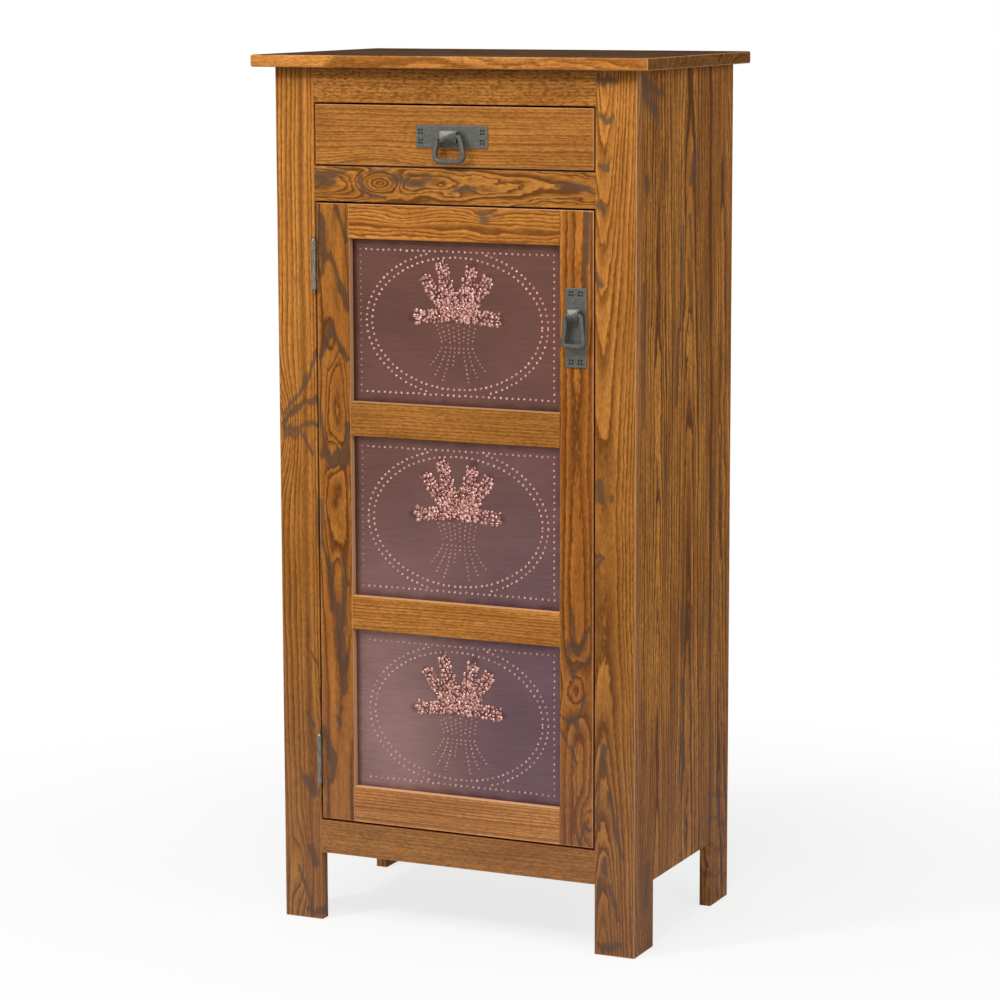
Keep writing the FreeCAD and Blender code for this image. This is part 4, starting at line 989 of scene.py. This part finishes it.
# Screws, in millimetres. A hinge's lie up and down from its middle, and back from a line.
HINGE_MIDDLES = (265.7, 1057.8)
HINGE_LINE = -178.5
HINGE_SCREWS = ((-24, 3), (0, -2.5), (24, 3))
HINGE_FACES = (("case", -237.1, (1, 0, 0)), ("door", -236.7, (-1, 0, 0)))
CLEAT_SCREWS = (-90, 40, 170)
CATCH_FACE = -166.0
CATCH_SCREWS = (("magnetic_catch", "case", 248.5, (965, 989), 2.4),
                ("door_strike_plate", "door", 227.9, (964, 990), 1.8))


def screw_head(mesh, place, facing, radius, height):
    """Add a slotted countersunk head that faces a way and stands a hair above its seat."""
    made = bmesh.ops.create_cone(mesh, cap_ends=True, segments=16, radius1=radius,
                                 radius2=radius * 0.94, depth=height * 2)["verts"]
    half_wide, half_long = radius * 0.16, radius * 0.8
    for axis, offset in (("x", half_wide), ("x", -half_wide), ("y", half_long), ("y", -half_long)):
        head = list({piece for vertex in made
                     for piece in (vertex, *vertex.link_edges, *vertex.link_faces)})
        cut = bmesh.ops.bisect_plane(mesh, geom=head, plane_co=AXES[axis] * offset,
                                     plane_no=AXES[axis])
        made = list({piece for piece in (*made, *cut["geom_cut"])
                     if isinstance(piece, bmesh.types.BMVert)})
    faces = {face for vertex in made for face in vertex.link_faces}
    floor = [face for face in faces
             if face.normal.z > 0.9 and face.calc_center_median().xy.length < half_wide / 2]
    sunk = bmesh.ops.extrude_discrete_faces(mesh, faces=floor)["faces"]
    for face in sunk:
        bmesh.ops.translate(mesh, verts=face.verts, vec=(0, 0, -height * 1.2))
    made = list({vertex for face in faces if face.is_valid for vertex in face.verts} | set(made)
                | {vertex for face in sunk for vertex in face.verts})
    stand = Vector(facing).to_track_quat("Z", "Y").to_matrix().to_4x4()
    bmesh.ops.transform(mesh, matrix=Matrix.Translation(place) @ stand, verts=made)


def make_screws():
    """Set the screws that hold the hinges, the shelf cleats, the catch and its strike."""
    brass = plain_metal("screw_brass", (120, 104, 72), (168, 148, 104), 0.32)

    def set_screws(name, body, radius, height, heads):
        mesh = bmesh.new()
        for place, facing in heads:
            screw_head(mesh, Vector(place), facing, radius * MM, height * MM)
        finish_piece(f"{name}_screws", mesh, brass, body)

    for body, face, facing in HINGE_FACES:
        heads = [((face * MM, (HINGE_LINE + back) * MM, (middle + shift) * MM), facing)
                 for middle in HINGE_MIDDLES for shift, back in HINGE_SCREWS]
        set_screws(f"{body}_hinge_leaves", body, 2.6, 0.1, heads)
    heads = []
    for side, shelf in itertools.product(SIDES, ("upper", "lower")):
        low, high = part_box(f"{side}_{shelf}_shelf_cleat")
        inner, facing = (high.x, (1, 0, 0)) if side == "left" else (low.x, (-1, 0, 0))
        heads += [((inner, back * MM, (low.z + high.z) / 2), facing) for back in CLEAT_SCREWS]
    set_screws("cleat", "case", 3.2, 0.2, heads)
    for name, body, across, heights, radius in CATCH_SCREWS:
        face = CATCH_FACE * MM if body == "case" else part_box(name)[1].y
        heads = [((across * MM, face, up * MM), (0, 1, 0)) for up in heights]
        set_screws(name, body, radius, 0.08, heads)


# ---- studio

FLOOR_HALF = 12.0
FLOOR_PAINT = (0.86, 0.86, 0.86, 1.0)
# The share of plain white in what is seen of the floor round the legs.
FLOOR_WHITE = 0.78
AMBIENT = 0.42
LAMPS = (("key", (-2.3, -3.3, 3.6), (0.0, -0.19, 0.8), 0.8, 105.0),
         ("top_fill", (0.3, -1.7, 3.1), (0.0, -0.19, 1.2), 1.5, 42.0),
         ("side_fill", (3.2, -1.2, 1.6), (0.3, 0.0, 0.7), 1.6, 25.0))
SENSOR, LENS = 36.0, 121.03
CAMERA_PLACE = (2.2221, -4.8391, 1.5173)
CAMERA_DOWN, CAMERA_TURN, CAMERA_TILT = (math.radians(turn) for turn in (9.011, 24.738, -0.177))


def seen_rays(tree):
    """Mark the rays that reach the camera straight, by a mirror or through a glass."""
    rays = tree.add("LightPath").outputs
    return tree.math("MAXIMUM", rays["Is Camera Ray"],
                     tree.math("MAXIMUM", rays["Is Glossy Ray"], rays["Is Transmission Ray"]))


def studio_floor():
    """Lay a floor that looks white and is lit as pale paint, with a soft shadow near the middle."""
    mesh = bmesh.new()
    bmesh.ops.create_grid(mesh, x_segments=1, y_segments=1, size=FLOOR_HALF)
    floor = link_mesh("studio_floor", mesh)

    material = bpy.data.materials.new("studio_floor")
    tree = fresh_tree(material)
    place = tree.add("TexCoord").outputs["Object"]
    seen = seen_rays(tree)
    far = tree.ease(tree.vector("LENGTH", place), 0.5, 1.6, FLOOR_WHITE, 1.0)
    paint = tree.add("BsdfDiffuse", {"Color": FLOOR_PAINT})
    white = tree.add("Emission", {"Strength": 1.0})
    mixed = tree.add("MixShader", {0: tree.times(seen, far), 1: paint.outputs[0],
                                   2: white.outputs[0]})
    tree.add("OutputMaterial", {"Surface": mixed.outputs[0]})
    floor.data.materials.append(material)


def studio_world():
    """Show a white world, and light the scene with a share of it."""
    world = bpy.data.worlds.new("studio")
    tree = fresh_tree(world)
    strength = tree.scaled(seen_rays(tree), 1.0 - AMBIENT, AMBIENT)
    sky = tree.add("Background", {"Color": (1.0, 1.0, 1.0, 1.0), "Strength": strength})
    tree.add("OutputWorld", {"Surface": sky.outputs[0]})
    bpy.context.scene.world = world


def studio_lamp(name, place, aim, size, power):
    light = bpy.data.lights.new(name, "AREA")
    light.shape, light.size, light.energy = "DISK", size, power
    lamp = link(name, light)
    lamp.location = place
    lamp.rotation_euler = (Vector(aim) - Vector(place)).to_track_quat("-Z", "Y").to_euler()


def studio_camera():
    data = bpy.data.cameras.new("camera")
    data.sensor_width, data.lens = SENSOR, LENS
    camera = link("camera", data)
    camera.location = CAMERA_PLACE
    turn = Euler((math.pi / 2 - CAMERA_DOWN, 0.0, CAMERA_TURN)).to_matrix()
    camera.rotation_euler = (turn @ Matrix.Rotation(CAMERA_TILT, 3, "Z")).to_euler()
    bpy.context.scene.camera = camera


# ---- the whole piece

dress_case()
dress_door()
dress_drawer()
dress_metals()
make_copper_marks()
make_screws()
studio_floor()
studio_world()
for settings in LAMPS:
    studio_lamp(*settings)
studio_camera()
bpy.context.scene.view_settings.view_transform = "Standard"
